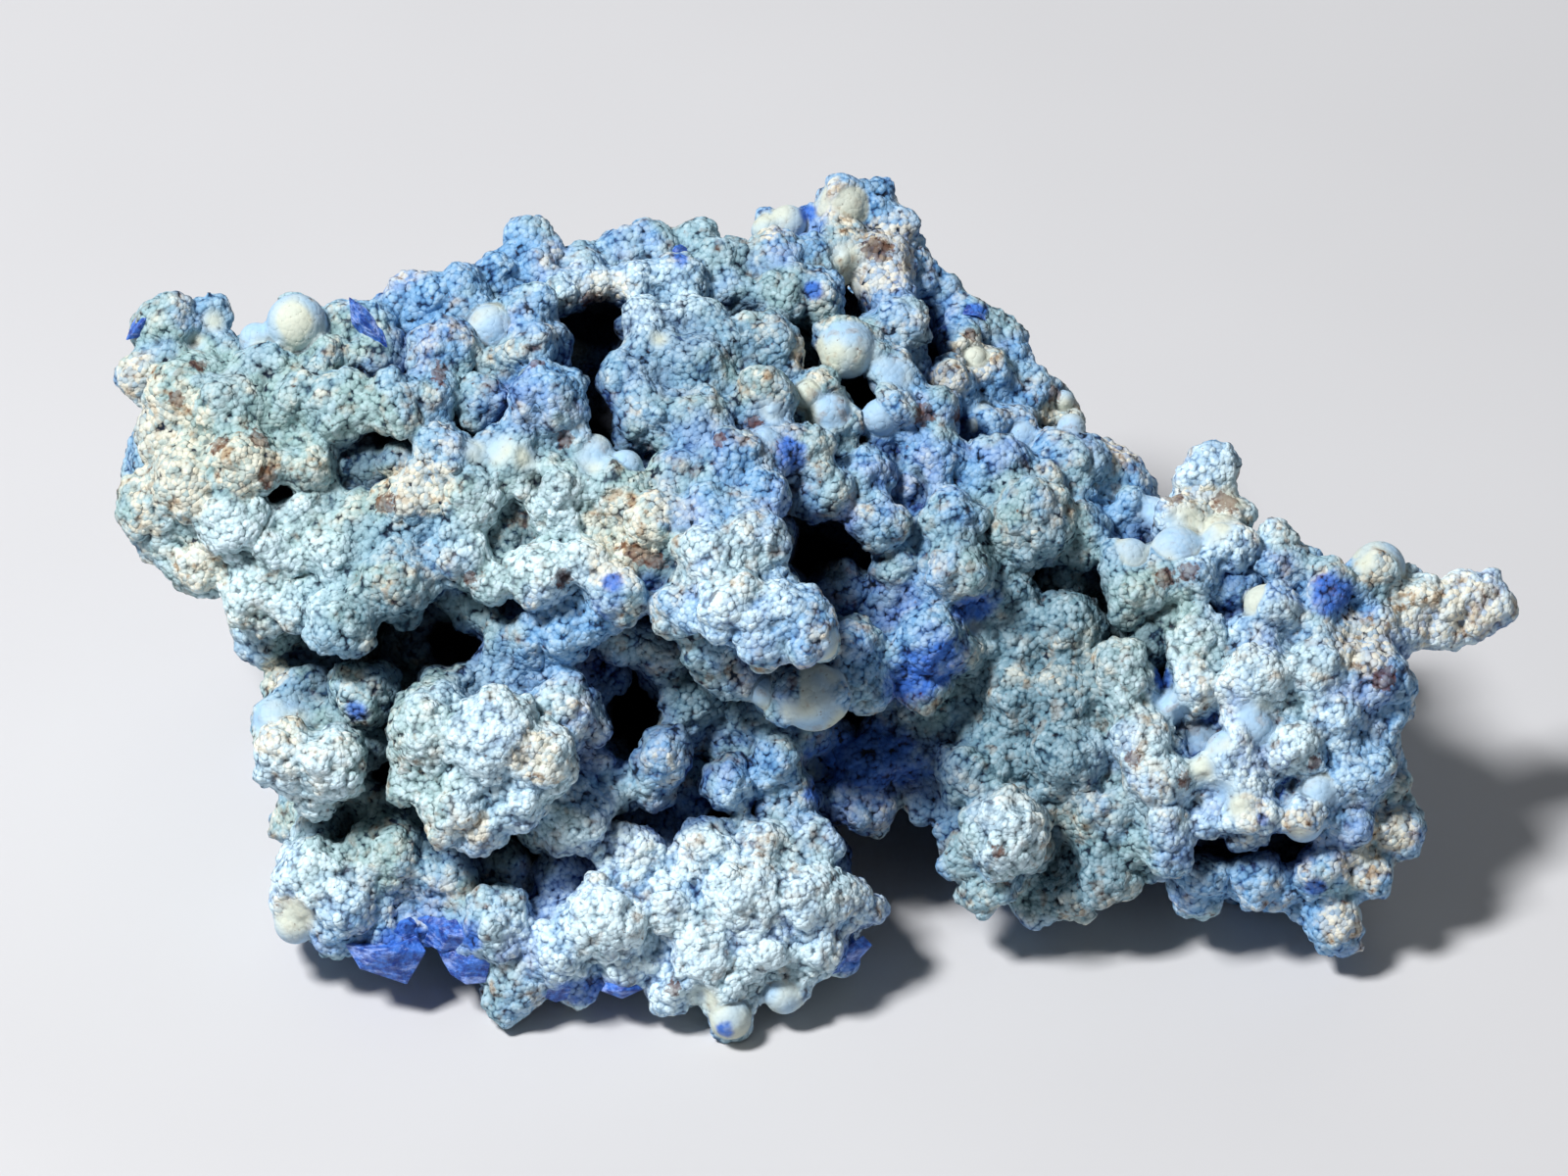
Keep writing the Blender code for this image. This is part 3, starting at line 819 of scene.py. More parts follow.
@dataclass(frozen=True)
class ShardFinish:
    """The glassy deep blue of broken corners, with paler streaks."""

    blue: Colour = paint(0.25, 0.47, 0.84)
    dark: Colour = paint(0.08, 0.22, 0.55)
    pale: Colour = paint(0.62, 0.72, 0.97)
    drawn: tuple[float, float, float] = (0.5, 1.6, 2.4)
    relief: float = 0.25
    roughness: float = 0.3
    shine: float = 0.5

    def make(self, name: str) -> bpy.types.Material:
        """Make the material.

        Args:
            name: The material's name.

        Returns:
            The material.
        """
        tree = PaintTree(name)
        streaks = tree.noise(tree.vector("MULTIPLY", tree.where, self.drawn), 0.8, 5.0, 0.65)
        mottle = tree.noise(tree.where, 2.4, 4.0)
        base = tree.mix(mottle.ramp(0.35, 0.65), self.dark, self.blue)
        height = 0.6 * streaks + 0.4 * tree.noise(tree.where, 5.0)
        values = {
            "Base Color": tree.mix(streaks.ramp(0.48, 0.66) * 0.85, base, self.pale),
            "Roughness": (self.roughness + 0.3 * mottle).clamp(),
            "Normal": tree.bump(height, self.relief),
            "Specular IOR Level": self.shine,
        }
        return tree.close(values)


@dataclass(frozen=True)
class KnobLayer:
    """One layer of round knobs over the crust, in millimetres."""

    spacing: float
    smallest: float
    largest: float
    sink: float
    facets: int
    seed: int
    voxel: float


class KnobTree(ShapeTree):
    """Scatters round knobs over a surface, clear of the smooth balls and of the ground."""

    CROWDING = 3.0
    FULL_TURN = 6.28
    OVER_GROUND = 1.05

    def __init__(self) -> None:
        """Make the tree."""
        sizes = {
            "Spacing": float,
            "Smallest": float,
            "Largest": float,
            "Sink": float,
            "Facets": int,
            "Seed": int,
            "Balls": "object",
            "Clearance": float,
        }
        super().__init__("knobs", sizes)
        surface = self.entry.outputs["Geometry"]
        values = {
            "Mesh": surface,
            "Distance Min": self.size("Spacing"),
            "Density Max": self.CROWDING * self.size("Spacing") ** -2.0,
            "Seed": self.size("Seed"),
        }
        settings = {"distribute_method": "POISSON"}
        spread = self.add("GeometryNodeDistributePointsOnFaces", settings, values)
        limits = {"Min": self.size("Smallest"), "Max": self.size("Largest"), "Seed": self.size("Seed")}
        drawn = self.add("FunctionNodeRandomValue", {"data_type": "FLOAT"}, limits)
        radius = Wire(self, drawn.outputs[1])
        dots = self._clear_of_balls(self.store(spread.outputs["Points"], "knob_radius", radius))
        self.close(self._knobs(surface, dots, spread.outputs["Normal"], self.stored("knob_radius")))

    def _clear_of_balls(self, dots: object) -> object:
        """Drop the points that are near a smooth ball.

        Args:
            dots: The points.

        Returns:
            Those that are clear of the balls.
        """
        target = self.add("GeometryNodeObjectInfo", {}, {"Object": self.entry.outputs["Balls"]})
        values = {0: target.outputs["Geometry"]}
        near = self.add("GeometryNodeProximity", {"target_element": "FACES"}, values)
        settings = {"data_type": "FLOAT", "operation": "LESS_THAN"}
        values = {0: near.outputs["Distance"], 1: self.size("Clearance")}
        too_near = self.add("FunctionNodeCompare", settings, values)
        values = {"Geometry": dots, "Selection": too_near.outputs[0]}
        return self.add("GeometryNodeDeleteGeometry", {"domain": "POINT"}, values).outputs[0]

    def _knobs(self, surface: object, dots: object, normal: object, radius: Wire) -> object:
        """Grow a knob at each point.

        Args:
            surface: The surface that they grow on.
            dots: The points.
            normal: The surface's direction at each.
            radius: Each knob's radius.

        Returns:
            The surface with its knobs.
        """
        inward = self.vector("SCALE", normal, scale=radius * self.size("Sink") * -1.0)
        sunk = self.add("GeometryNodeSetPosition", {}, {"Geometry": dots, "Offset": inward}).outputs[0]
        place = self.add("GeometryNodeInputPosition").outputs[0]
        parts = self.add("ShaderNodeSeparateXYZ", {}, {0: place}).outputs
        lifted = Wire(self, parts[2]).most(radius * self.OVER_GROUND)
        place = self.add("ShaderNodeCombineXYZ", {}, {0: parts[0], 1: parts[1], 2: lifted}).outputs[0]
        sunk = self.add("GeometryNodeSetPosition", {}, {"Geometry": sunk, "Position": place}).outputs[0]
        values = {"Radius": 1.0, "Subdivisions": self.size("Facets")}
        ball = self.add("GeometryNodeMeshIcoSphere", {}, values)
        most = (self.FULL_TURN, self.FULL_TURN, self.FULL_TURN)
        spin = self.add("FunctionNodeRandomValue", {"data_type": "FLOAT_VECTOR"}, {1: most})
        values = {
            "Points": sunk,
            "Instance": ball.outputs[0],
            "Rotation": spin.outputs[0],
            "Scale": self.vector("SCALE", (1.0, 1.0, 1.0), scale=radius),
        }
        knobs = self.add("GeometryNodeInstanceOnPoints", {}, values).outputs[0]
        real = self.add("GeometryNodeRealizeInstances", {}, {0: knobs}).outputs[0]
        joined = self.add("GeometryNodeJoinGeometry")
        self.nodes.links.new(real, joined.inputs[0])
        self.nodes.links.new(surface, joined.inputs[0])
        return joined.outputs[0]


class SwellTree(ShapeTree):
    """Rounds out what stands proud and deepens the creases between, so that the lobes part clearly."""

    DEEPER = 1.6

    def __init__(self) -> None:
        """Make the tree."""
        super().__init__("swell", {"Steps": int, "Strength": float, "Limit": float})
        rise = self.bulge("Steps") * self.size("Strength")
        self.close_raised(rise.least(self.size("Limit")).most(self.size("Limit") * -self.DEEPER))


class GranuleTree(ShapeTree):
    """Raises rounded granules with creases between them, and keeps the base flat."""

    def __init__(self) -> None:
        """Make the tree."""
        sizes = {
            "Lump": float,
            "Lump Height": float,
            "Granule": float,
            "Granule Height": float,
        }
        super().__init__("granules", sizes)
        place = self.add("GeometryNodeInputPosition").outputs[0]
        where = self.bent(self.in_millimetres(place), 0.6, 0.8)
        lumps, _ = self.cells(where, self.size("Lump") ** -1.0)
        granules, _ = self.cells(where, self.size("Granule") ** -1.0)
        lumps = (0.75 - lumps**2.0) * self.size("Lump Height")
        granules = (0.5 - granules**2.0) * self.size("Granule Height")
        rough = 1.0 - self.stored(Mark.SMOOTH.value)
        waves = (self.noise(where, 0.45) - 0.5) * 0.25 * (0.4 + rough)
        rise = (lumps + granules) * rough
        self.close_raised((rise + waves * self.size("Lump Height")) * MM)


class HollowTree(ShapeTree):
    """Measures how deep in a fine crease or a wide hollow each place of a surface is."""

    def __init__(self) -> None:
        """Make the tree."""
        super().__init__("hollows", {"Near": int, "Far": int, "Crease": float, "Cavity": float})
        shape = self.entry.outputs["Geometry"]
        for name, steps, size in (("crease", "Near", "Crease"), ("cavity", "Far", "Cavity")):
            shape = self.store(shape, name, -1.0 * self.bulge(steps) / self.size(size))
        self.close(shape)


class CloudTree(ShapeTree):
    """Stores the wide patterns of the crust on its vertices, where the finish reads them."""

    PATTERNS = (("clouds", 0.24, 2.0, 0.6), ("stains", 1.1, 3.0, 0.65))

    def __init__(self) -> None:
        """Make the tree."""
        super().__init__("clouds", {})
        where = self.in_millimetres(self.add("GeometryNodeInputPosition").outputs[0])
        shape = self.entry.outputs["Geometry"]
        for name, scale, detail, roughness in self.PATTERNS:
            values = {"Vector": where, "Scale": scale, "Detail": detail, "Roughness": roughness}
            waves = self.add("ShaderNodeTexNoise", {}, values).outputs["Color"]
            shape = self.store(shape, name, waves, "FLOAT_VECTOR")
        self.close(shape)


class CopyTree(ShapeTree):
    """Copies numbers that were measured on one surface to another that lies on it."""

    def __init__(self, *names: str) -> None:
        """Make the tree.

        Args:
            names: The attributes that are copied.
        """
        super().__init__("copy_numbers", {"Whole": "object"})
        source = self.add("GeometryNodeObjectInfo", {}, {"Object": self.entry.outputs["Whole"]})
        shape = self.entry.outputs["Geometry"]
        for name in names:
            values = {"Mesh": source.outputs["Geometry"], "Value": self.stored(name)}
            found = self.add("GeometryNodeSampleNearestSurface", {"data_type": "FLOAT"}, values)
            shape = self.store(shape, name, found.outputs[0])
        self.close(shape)


@dataclass(frozen=True)
class Shard:
    """A broken, flat-sided blue corner.

    Its outline is as seen on the face, its middle bulges out of it, and its root goes into the crust.
    """

    outline: tuple[tuple[float, float], ...]
    bulge: float
    root: float = 2.2


@dataclass
class Shards:
    """The broken blue corners, each a faceted wedge rooted in the crust. Sizes are in millimetres."""

    shards: tuple[Shard, ...]
    proud: float = 0.25
    jitter: float = 0.35
    shift: float = 0.3
    taper: float = 0.7
    bevel: float = 0.06
    lowest: float = 0.3
    drape: float = 0.9
    seed: int = 12

    def build(self, crust: bpy.types.Object, finish: bpy.types.Material) -> bpy.types.Object:
        """Make the corners on the crust's surface.

        Args:
            crust: The lump that they stand on.
            finish: Their material.

        Returns:
            One object with every corner.
        """
        draw = random.Random(self.seed)
        mesh = bmesh.new()
        for shard in self.shards:
            self._add(mesh, crust, shard, draw)
        bmesh.ops.recalc_face_normals(mesh, faces=mesh.faces)
        made = object_from("blue_corners", mesh)
        made.data.materials.append(finish)
        modifier = made.modifiers.new("edges", "BEVEL")
        modifier.width = self.bevel * MM
        modifier.segments = 2
        modifier.limit_method = "ANGLE"
        settle(made)
        return made

    def _add(
        self, mesh: bmesh.types.BMesh, crust: bpy.types.Object, shard: Shard, draw: random.Random
    ) -> None:
        """Add one corner.

        Args:
            mesh: The mesh that takes it.
            crust: The lump.
            shard: The corner.
            draw: The source of its unevenness.
        """
        across = sum(point[0] for point in shard.outline) / len(shard.outline)
        up = sum(point[1] for point in shard.outline) / len(shard.outline)
        out = (FACE.level(crust, across, up) or 0.0) + self.proud
        rim, roots = [], []
        for x, y in shard.outline:
            level = self._level(crust, x, y, out) - draw.uniform(0.0, 1.0) * self.jitter
            rim.append(self._vertex(mesh, x, y, level))
        for x, y in shard.outline:
            x, y = across + self.taper * (x - across), up + self.taper * (y - up)
            roots.append(self._vertex(mesh, x, y, out - shard.root))
        right = draw.uniform(-self.shift, self.shift)
        higher = draw.uniform(-self.shift, self.shift)
        peak = self._vertex(mesh, across + right, up + higher, out + shard.bulge)
        mesh.faces.new(roots)
        for first, second, low, next_low in zip(rim, rim[1:] + rim[:1], roots, roots[1:] + roots[:1]):
            mesh.faces.new((first, second, peak))
            mesh.faces.new((first, low, next_low, second))

    def _level(self, crust: bpy.types.Object, across: float, up: float, out: float) -> float:
        """How far out the crust lies at a place, kept near a known level.

        Args:
            crust: The lump.
            across: Where along the face.
            up: Where up the face.
            out: The known level.

        Returns:
            The level there, with the corner's height over the crust added.
        """
        level = FACE.level(crust, across, up)
        if level is None:
            return out
        return min(max(level + self.proud, out - self.drape), out + self.drape)

    def _vertex(
        self, mesh: bmesh.types.BMesh, across: float, up: float, out: float
    ) -> bmesh.types.BMVert:
        """Add a vertex, kept off the ground.

        Args:
            mesh: The mesh that takes it.
            across: Where along the face.
            up: Where up the face.
            out: How far out of the face.

        Returns:
            The vertex.
        """
        place = FACE.place(across, up, out)
        place.z = max(place.z, self.lowest * MM)
        return mesh.verts.new(place)


@dataclass(frozen=True)
class Openness:
    """Measures how closed in each place of the solid is, for the painted shade of its hollows."""

    rays: int = 56
    reach: float = 12.0
    lift: float = 0.15

    def measure(self, solid: bpy.types.Object) -> bpy.types.Object:
        """Make a hidden copy of the solid with the closed share of each place as "shut".

        Args:
            solid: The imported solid.

        Returns:
            The copy.
        """
        mesh = merged_copy(solid)
        walls = BVHTree.FromBMesh(mesh)
        ways = self._ways()
        shut = []
        for vertex in mesh.verts:
            turn = vertex.normal.to_track_quat("Z", "Y").to_matrix()
            start = vertex.co + vertex.normal * self.lift * MM
            found = [walls.ray_cast(start, turn @ way, self.reach * MM)[0] for way in ways]
            shut.append(sum(place is not None for place in found) / len(ways))
        made = object_from("openness", mesh)
        keep(made.data, "shut", np.array(shut))
        made.hide_render = True
        return made

    def _ways(self) -> list[Vector]:
        """Directions over a half ball, closer together towards its top."""
        ways = []
        for i in range(self.rays):
            share = (i + 0.5) / self.rays
            turn = i * math.pi * (3.0 - math.sqrt(5.0))
            flat = math.sqrt(share)
            ways.append(Vector((flat * math.cos(turn), flat * math.sin(turn), math.sqrt(1.0 - share))))
        return ways


@dataclass
class Crust:
    """The granular crust over the whole lump, cut into blocks that share their cut faces.

    Sizes are in millimetres.
    """

    shrink: float = 0.3
    base_level: float = 0.05
    seed_voxel: float = 0.3
    swell: float = 1.0
    swell_steps: int = 40
    swell_limit: float = 0.5
    layers: tuple[KnobLayer, ...] = (
        KnobLayer(1.5, 0.45, 0.85, 0.55, 2, 3, 0.25),
        KnobLayer(0.5, 0.17, 0.34, 0.3, 1, 5, 0.156),
    )
    ball_clearance: float = 0.35
    slim: float = 0.38
    lobe_facets: int = 3
    ball_facets: int = 4
    plain_facets: int = 2
    ball_cover: float = 1.6
    ball_edge: float = 0.12
    plain_cover: float = 0.5
    plain_edge: float = 0.6
    lump: float = 1.0
    lump_height: float = 0.3
    granule: float = 0.5
    granule_height: float = 0.16
    crease_steps: int = 3
    crease: float = 0.05
    cavity_steps: int = 40
    cavity: float = 0.6
    triangles: int = 880000
    back_facing: float = -0.15
    back_thinning: float = 1.0
    quick_voxel: float = 0.3
    cuts: tuple[float, ...] = (-22.2, -13.4, -5.8, 2.4, 11.0, 20.0)
    margin: float = 5.0
    wall_reach: float = 0.002
    balls: tuple[Ball, ...] = ()
    plain: tuple[Ball, ...] = ()
    lobes: tuple[Ball, ...] = ()
    shards: Shards = field(default_factory=lambda: Shards(()))
    patches: dict[Mark, tuple[Patch, ...]] = field(default_factory=dict)
    names: tuple[str, ...] = (
        "crust_left_end",
        "crust_left",
        "crust_left_middle",
        "crust_middle",
        "crust_right_middle",
        "crust_right",
        "crust_right_end",
    )
    ball_centres: list[Vector] = field(default_factory=list, init=False)
    plain_centres: list[Vector] = field(default_factory=list, init=False)

    def build(
        self,
        solid: bpy.types.Object,
        finish: bpy.types.Material,
        blue: bpy.types.Material,
    ) -> list[bpy.types.Object]:
        """Grow the crust on the solid.

        Args:
            solid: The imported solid, which is copied and left as it is.
            finish: The crust's material.
            blue: The broken corners' material.

        Returns:
            The blocks and the broken corners.
        """
        whole = self._seed(solid)
        openness = Openness().measure(solid)
        self._round_out(whole, finish)
        balls, self.ball_centres = self._ball_surfaces(whole, self.balls, self.ball_facets)
        corners = self.shards.build(whole, blue)
        bare, self.plain_centres = self._ball_surfaces(whole, self.plain, self.plain_facets)
        self._join(bare, balls)
        self._join(bare, corners)
        self._grow_knobs(whole, bare, balls, finish)
        self._mark_smooth(whole.data)
        self._raise_granules(whole, finish)
        self._measure(whole, openness, finish)
        blocks = self._cut(whole, finish)
        self._dress(whole, blocks)
        for helper in (bare, balls, openness, whole):
            bpy.data.objects.remove(helper)
        return [*blocks, corners]

    def _seed(self, solid: bpy.types.Object) -> bpy.types.Object:
        """Copy the solid and shrink it above its base, to leave room for the knobs.

        Args:
            solid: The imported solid.

        Returns:
            The copy.
        """
        mesh = merged_copy(solid)
        for vertex in mesh.verts:
            if vertex.co.z > self.base_level * MM:
                moved = vertex.co - vertex.normal * self.shrink * MM
                vertex.co = Vector((moved.x, moved.y, max(moved.z, 0.0)))
        return object_from("crust", mesh)

    def _round_out(self, whole: bpy.types.Object, finish: bpy.types.Material) -> None:
        """Set the listed lobes on the lump and swell it.

        Args:
            whole: The lump.
            finish: The crust's material.
        """
        lobes, _ = self._ball_surfaces(whole, self.lobes, self.lobe_facets, self.slim)
        self._join(whole, lobes)
        bpy.data.objects.remove(lobes)
        self._fuse(whole, self.seed_voxel)
        SwellTree().put_on(
            whole,
            Steps=self.swell_steps,
            Strength=self.swell,
            Limit=self.swell_limit * MM,
            Finish=finish,
        )
        settle(whole)

    def _grow_knobs(
        self,
        whole: bpy.types.Object,
        bare: bpy.types.Object,
        balls: bpy.types.Object,
        finish: bpy.types.Material,
    ) -> None:
        """Grow the layers of knobs and set the smooth balls among the last.

        Args:
            whole: The lump.
            bare: What the knobs keep clear of.
            balls: The smooth balls.
            finish: The crust's material.
        """
        tree = KnobTree()
        for layer in self.layers:
            tree.put_on(
                whole,
                Spacing=layer.spacing * MM,
                Smallest=layer.smallest * MM,
                Largest=layer.largest * MM,
                Sink=layer.sink,
                Facets=layer.facets,
                Seed=layer.seed,
                Balls=bare,
                Clearance=self.ball_clearance * MM,
                Finish=finish,
            )
            settle(whole)
            if layer is self.layers[-1]:
                self._join(whole, balls)
            self._fuse(whole, layer.voxel)
            LOG.info("knobs every %.2f mm: %d triangles", layer.spacing, triangles_of(whole.data))

    def _raise_granules(self, whole: bpy.types.Object, finish: bpy.types.Material) -> None:
        """Raise the granules, then drop the triangles that show least, down to the number wanted.

        Args:
            whole: The lump.
            finish: The crust's material.
        """
        GranuleTree().put_on(
            whole,
            Lump=self.lump,
            Lump_Height=self.lump_height,
            Granule=self.granule,
            Granule_Height=self.granule_height,
            Finish=finish,
        )
        settle(whole)
        have = triangles_of(whole.data)
        if have > self.triangles:
            normals = np.empty(len(whole.data.vertices) * 3, np.float32)
            whole.data.vertices.foreach_get("normal", normals)
            facing = normals.reshape(-1, 3) @ np.array(FACE.outward())
            away = np.nonzero(facing < self.back_facing)[0]
            whole.vertex_groups.new(name="back").add(away.tolist(), 1.0, "REPLACE")
            modifier = whole.modifiers.new("thin", "DECIMATE")
            modifier.ratio = self.triangles / have
            modifier.vertex_group = "back"
            modifier.vertex_group_factor = self.back_thinning
            settle(whole)
        LOG.info("granules: %d triangles, thinned from %d", triangles_of(whole.data), have)

    def _measure(
        self, whole: bpy.types.Object, openness: bpy.types.Object, finish: bpy.types.Material
    ) -> None:
        """Store how deep in creases and hollows each place lies, and how closed in it is.

        Args:
            whole: The lump.
            openness: The solid's copy that says how closed in its places are.
            finish: The crust's material.
        """
        HollowTree().put_on(
            whole,
            Near=self.crease_steps,
            Far=self.cavity_steps,
            Crease=self.crease * MM,
            Cavity=self.cavity * MM,
            Finish=finish,
        )
        settle(whole)
        CopyTree("shut").put_on(whole, Whole=openness, Finish=finish)
        settle(whole)

    def _ball_surfaces(
        self, whole: bpy.types.Object, balls: tuple[Ball, ...], facets: int, slim: float = 0.0
    ) -> tuple[bpy.types.Object, list[Vector]]:
        """Place balls on the lump's surface.

        Args:
            whole: The lump.
            balls: The balls.
            facets: How finely each is made.
            slim: How much less their radius is, where knobs will grow on them.

        Returns:
            One object with all the balls, and their middles.
        """
        bpy.context.view_layer.update()
        centres = [ball.centre(whole) for ball in balls]
        mesh = bmesh.new()
        for ball, centre in zip(balls, centres):
            place = Matrix.Translation(centre) @ Matrix.Scale((ball.radius - slim) * MM, 4)
            bmesh.ops.create_icosphere(mesh, subdivisions=facets, radius=1.0, matrix=place)
        made = object_from("balls", mesh)
        made.hide_render = True
        return made, centres

    def _join(self, thing: bpy.types.Object, other: bpy.types.Object) -> None:
        """Join another object's mesh into a thing's.

        Args:
            thing: The object that takes the mesh.
            other: The object that gives it, which is left as it is.
        """
        mesh = bmesh.new()
        mesh.from_mesh(thing.data)
        mesh.from_mesh(other.data)
        mesh.to_mesh(thing.data)
        mesh.free()

    def _fuse(self, whole: bpy.types.Object, voxel: float) -> None:
        """Fuse everything that overlaps into one closed skin.

        Args:
            whole: The lump.
            voxel: How fine the skin is.
        """
        modifier = whole.modifiers.new("fuse", "REMESH")
        modifier.mode = "VOXEL"
        modifier.voxel_size = voxel * MM
        modifier.use_smooth_shade = True
        settle(whole)

    def _mark_smooth(self, mesh: bpy.types.Mesh) -> None:
        """Mark the places that lie on a smooth ball or in a plain place.

        Args:
            mesh: The mesh of the lump or of a block.
        """
        points = points_of(mesh)
        smooth = np.zeros(len(points))
        for ball, centre in zip(self.balls, self.ball_centres):
            off = np.abs(np.linalg.norm(points - np.array(centre), axis=1) / MM - ball.radius)
            smooth = np.maximum(smooth, np.clip(self.ball_cover - off / self.ball_edge, 0.0, 1.0))
        for ball, centre in zip(self.plain, self.plain_centres):
            off = np.linalg.norm(points - np.array(centre), axis=1) / MM - ball.radius
            smooth = np.maximum(smooth, np.clip(self.plain_cover - off / self.plain_edge, 0.0, 1.0))
        keep(mesh, Mark.SMOOTH.value, smooth)

    def _cut(self, whole: bpy.types.Object, finish: bpy.types.Material) -> list[bpy.types.Object]:
        """Cut the whole crust into blocks across its length.

        Args:
            whole: The crust.
            finish: Its material.

        Returns:
            The blocks from left to right.
        """
        low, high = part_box("shattuckite")
        margin = self.margin * MM
        edges = [low.x - margin, *self._walls(), high.x + margin]
        copier = CopyTree("crease", "cavity", "shut")
        clouds = CloudTree()
        blocks = []
        for name, left, right in zip(self.names, edges, edges[1:]):
            block = new_object(name, whole.data.copy())
            box = self._box(left, right, low, high)
            modifier = block.modifiers.new("cut", "BOOLEAN")
            modifier.operation = "INTERSECT"
            modifier.solver = "MANIFOLD"
            modifier.object = box
            settle(block)
            bpy.data.objects.remove(box)
            copier.put_on(block, Whole=whole, Finish=finish)
            clouds.put_on(block, Finish=finish)
            settle(block)
            blocks.append(block)
        return blocks

    def _walls(self) -> list[float]:
        """Where the cuts are along the lump, in metres."""
        return [FACE.place(across, 0.0).x for across in self.cuts]

    def _box(self, left: float, right: float, low: Vector, high: Vector) -> bpy.types.Object:
        """Make a box round a length of the lump.

        Args:
            left: Its left end in metres.
            right: Its right end in metres.
            low: The lump's lowest corner.
            high: The lump's highest corner.

        Returns:
            The box.
        """
        margin = self.margin * MM
        mesh = bmesh.new()
        middle = Vector(((left + right) / 2, (low.y + high.y) / 2, (low.z + high.z) / 2))
        size = Vector((right - left, high.y - low.y + 2 * margin, high.z - low.z + 2 * margin))
        place = Matrix.Translation(middle) @ Matrix.Diagonal((*size, 1.0))
        bmesh.ops.create_cube(mesh, size=1.0, matrix=place)
        return object_from("box", mesh)

    def _dress(self, whole: bpy.types.Object, blocks: list[bpy.types.Object]) -> None:
        """Lay the marks on the blocks.

        Args:
            whole: The whole crust, which says how far out each patch lies.
            blocks: The blocks.
        """
        bpy.context.view_layer.update()
        depths = {
            patch: FACE.level(whole, patch.across, patch.up) or 0.0
            for patches in self.patches.values()
            for patch in patches
        }
        for block in blocks:
            points = points_of(block.data)
            self._part_walls(block.data, points)
            places = FACE.flatten(points)
            for mark, patches in self.patches.items():
                total = np.zeros(len(points))
                for patch in patches:
                    total = np.maximum(total, patch.weights(places, depths[patch]))
                keep(block.data, mark.value, total)
            self._mark_smooth(block.data)

    def _part_walls(self, mesh: bpy.types.Mesh, points: np.ndarray) -> None:
        """Shade the crust smooth but keep the cut faces flat, so that no seam shows where blocks meet.

        Args:
            mesh: The block's mesh.
            points: Its vertices in metres.
        """
        mesh.shade_smooth()
        on_wall = np.zeros(len(points), bool)
        for wall in self._walls():
            on_wall |= np.abs(points[:, 0] - wall) < self.wall_reach * MM
        edges = np.empty(len(mesh.edges) * 2, np.int32)
        mesh.edges.foreach_get("vertices", edges)
        sharp = on_wall[edges.reshape(-1, 2)].all(axis=1)
        layer = mesh.attributes.get("sharp_edge")
        layer = layer or mesh.attributes.new("sharp_edge", "BOOLEAN", "EDGE")
        layer.data.foreach_set("value", sharp)


@dataclass(frozen=True)
class Lamp:
    """A soft square lamp: its place and width in metres and its power in watts."""

    name: str
    place: tuple[float, float, float]
    size: float
    power: float

    def hang(self, aim: Vector) -> None:
        """Hang the lamp.

        Args:
            aim: The place that it faces.
        """
        lamp = bpy.data.lights.new(self.name, "AREA")
        lamp.size = self.size
        lamp.energy = self.power
        hung = bpy.data.objects.new(self.name, lamp)
        hung.location = self.place
        hung.rotation_euler = (aim - hung.location).to_track_quat("-Z", "Y").to_euler()
        bpy.context.scene.collection.objects.link(hung)


@dataclass(frozen=True)
class Studio:
    """The pale floor, the soft lights and the camera at the photograph's angle."""

    floor_size: float = 4.0
    floor_dark: Colour = paint(0.78, 0.78, 0.79)
    floor_pale: Colour = paint(0.81, 0.81, 0.82)
    lamps: tuple[Lamp, ...] = (
        Lamp("key", (-0.24, -0.10, 0.45), 0.10, 3.55),
        Lamp("fill", (0.35, -0.45, 0.20), 0.4, 0.14),
        Lamp("back", (0.15, 0.5, 0.3), 0.4, 0.5),
    )
    aim: tuple[float, float, float] = (0.0, 0.0, 0.012)
    sky_colour: Colour = (0.93, 0.96, 1.0, 1.0)
    sky_strength: float = 0.08
    distance: float = 0.6
    lens: float = 270.0
    sensor: float = 36.0

    def build(self) -> None:
        """Set up the floor, the lights and the camera."""
        self._floor()
        for lamp in self.lamps:
            lamp.hang(Vector(self.aim))
        world = bpy.data.worlds.new("studio")
        world.use_nodes = True
        sky = world.node_tree.nodes["Background"]
        sky.inputs["Color"].default_value = self.sky_colour
        sky.inputs["Strength"].default_value = self.sky_strength
        bpy.context.scene.world = world
        bpy.context.scene.view_settings.view_transform = "Standard"
        self._camera()

    def _floor(self) -> None:
        """Lay the floor."""
        mesh = bmesh.new()
        bmesh.ops.create_grid(mesh, x_segments=1, y_segments=1, size=self.floor_size / 2)
        floor = object_from("floor", mesh)
        tree = PaintTree("floor")
        colour = tree.mix(tree.noise(tree.place, 30.0, 2.0), self.floor_dark, self.floor_pale)
        floor.data.materials.append(tree.close({"Base Color": colour, "Roughness": 0.9}))

    def _camera(self) -> None:
        """Set the camera square to the crusted face."""
        camera = bpy.data.objects.new("camera", bpy.data.cameras.new("camera"))
        camera.data.lens = self.lens
        camera.data.sensor_width = self.sensor
        camera.data.clip_start = 0.01
        camera.location = FACE.place(0.0, 0.0) + FACE.outward() * self.distance
        camera.rotation_euler = (-FACE.outward()).to_track_quat("-Z", "Y").to_euler()
        bpy.context.scene.collection.objects.link(camera)
        bpy.context.scene.camera = camera


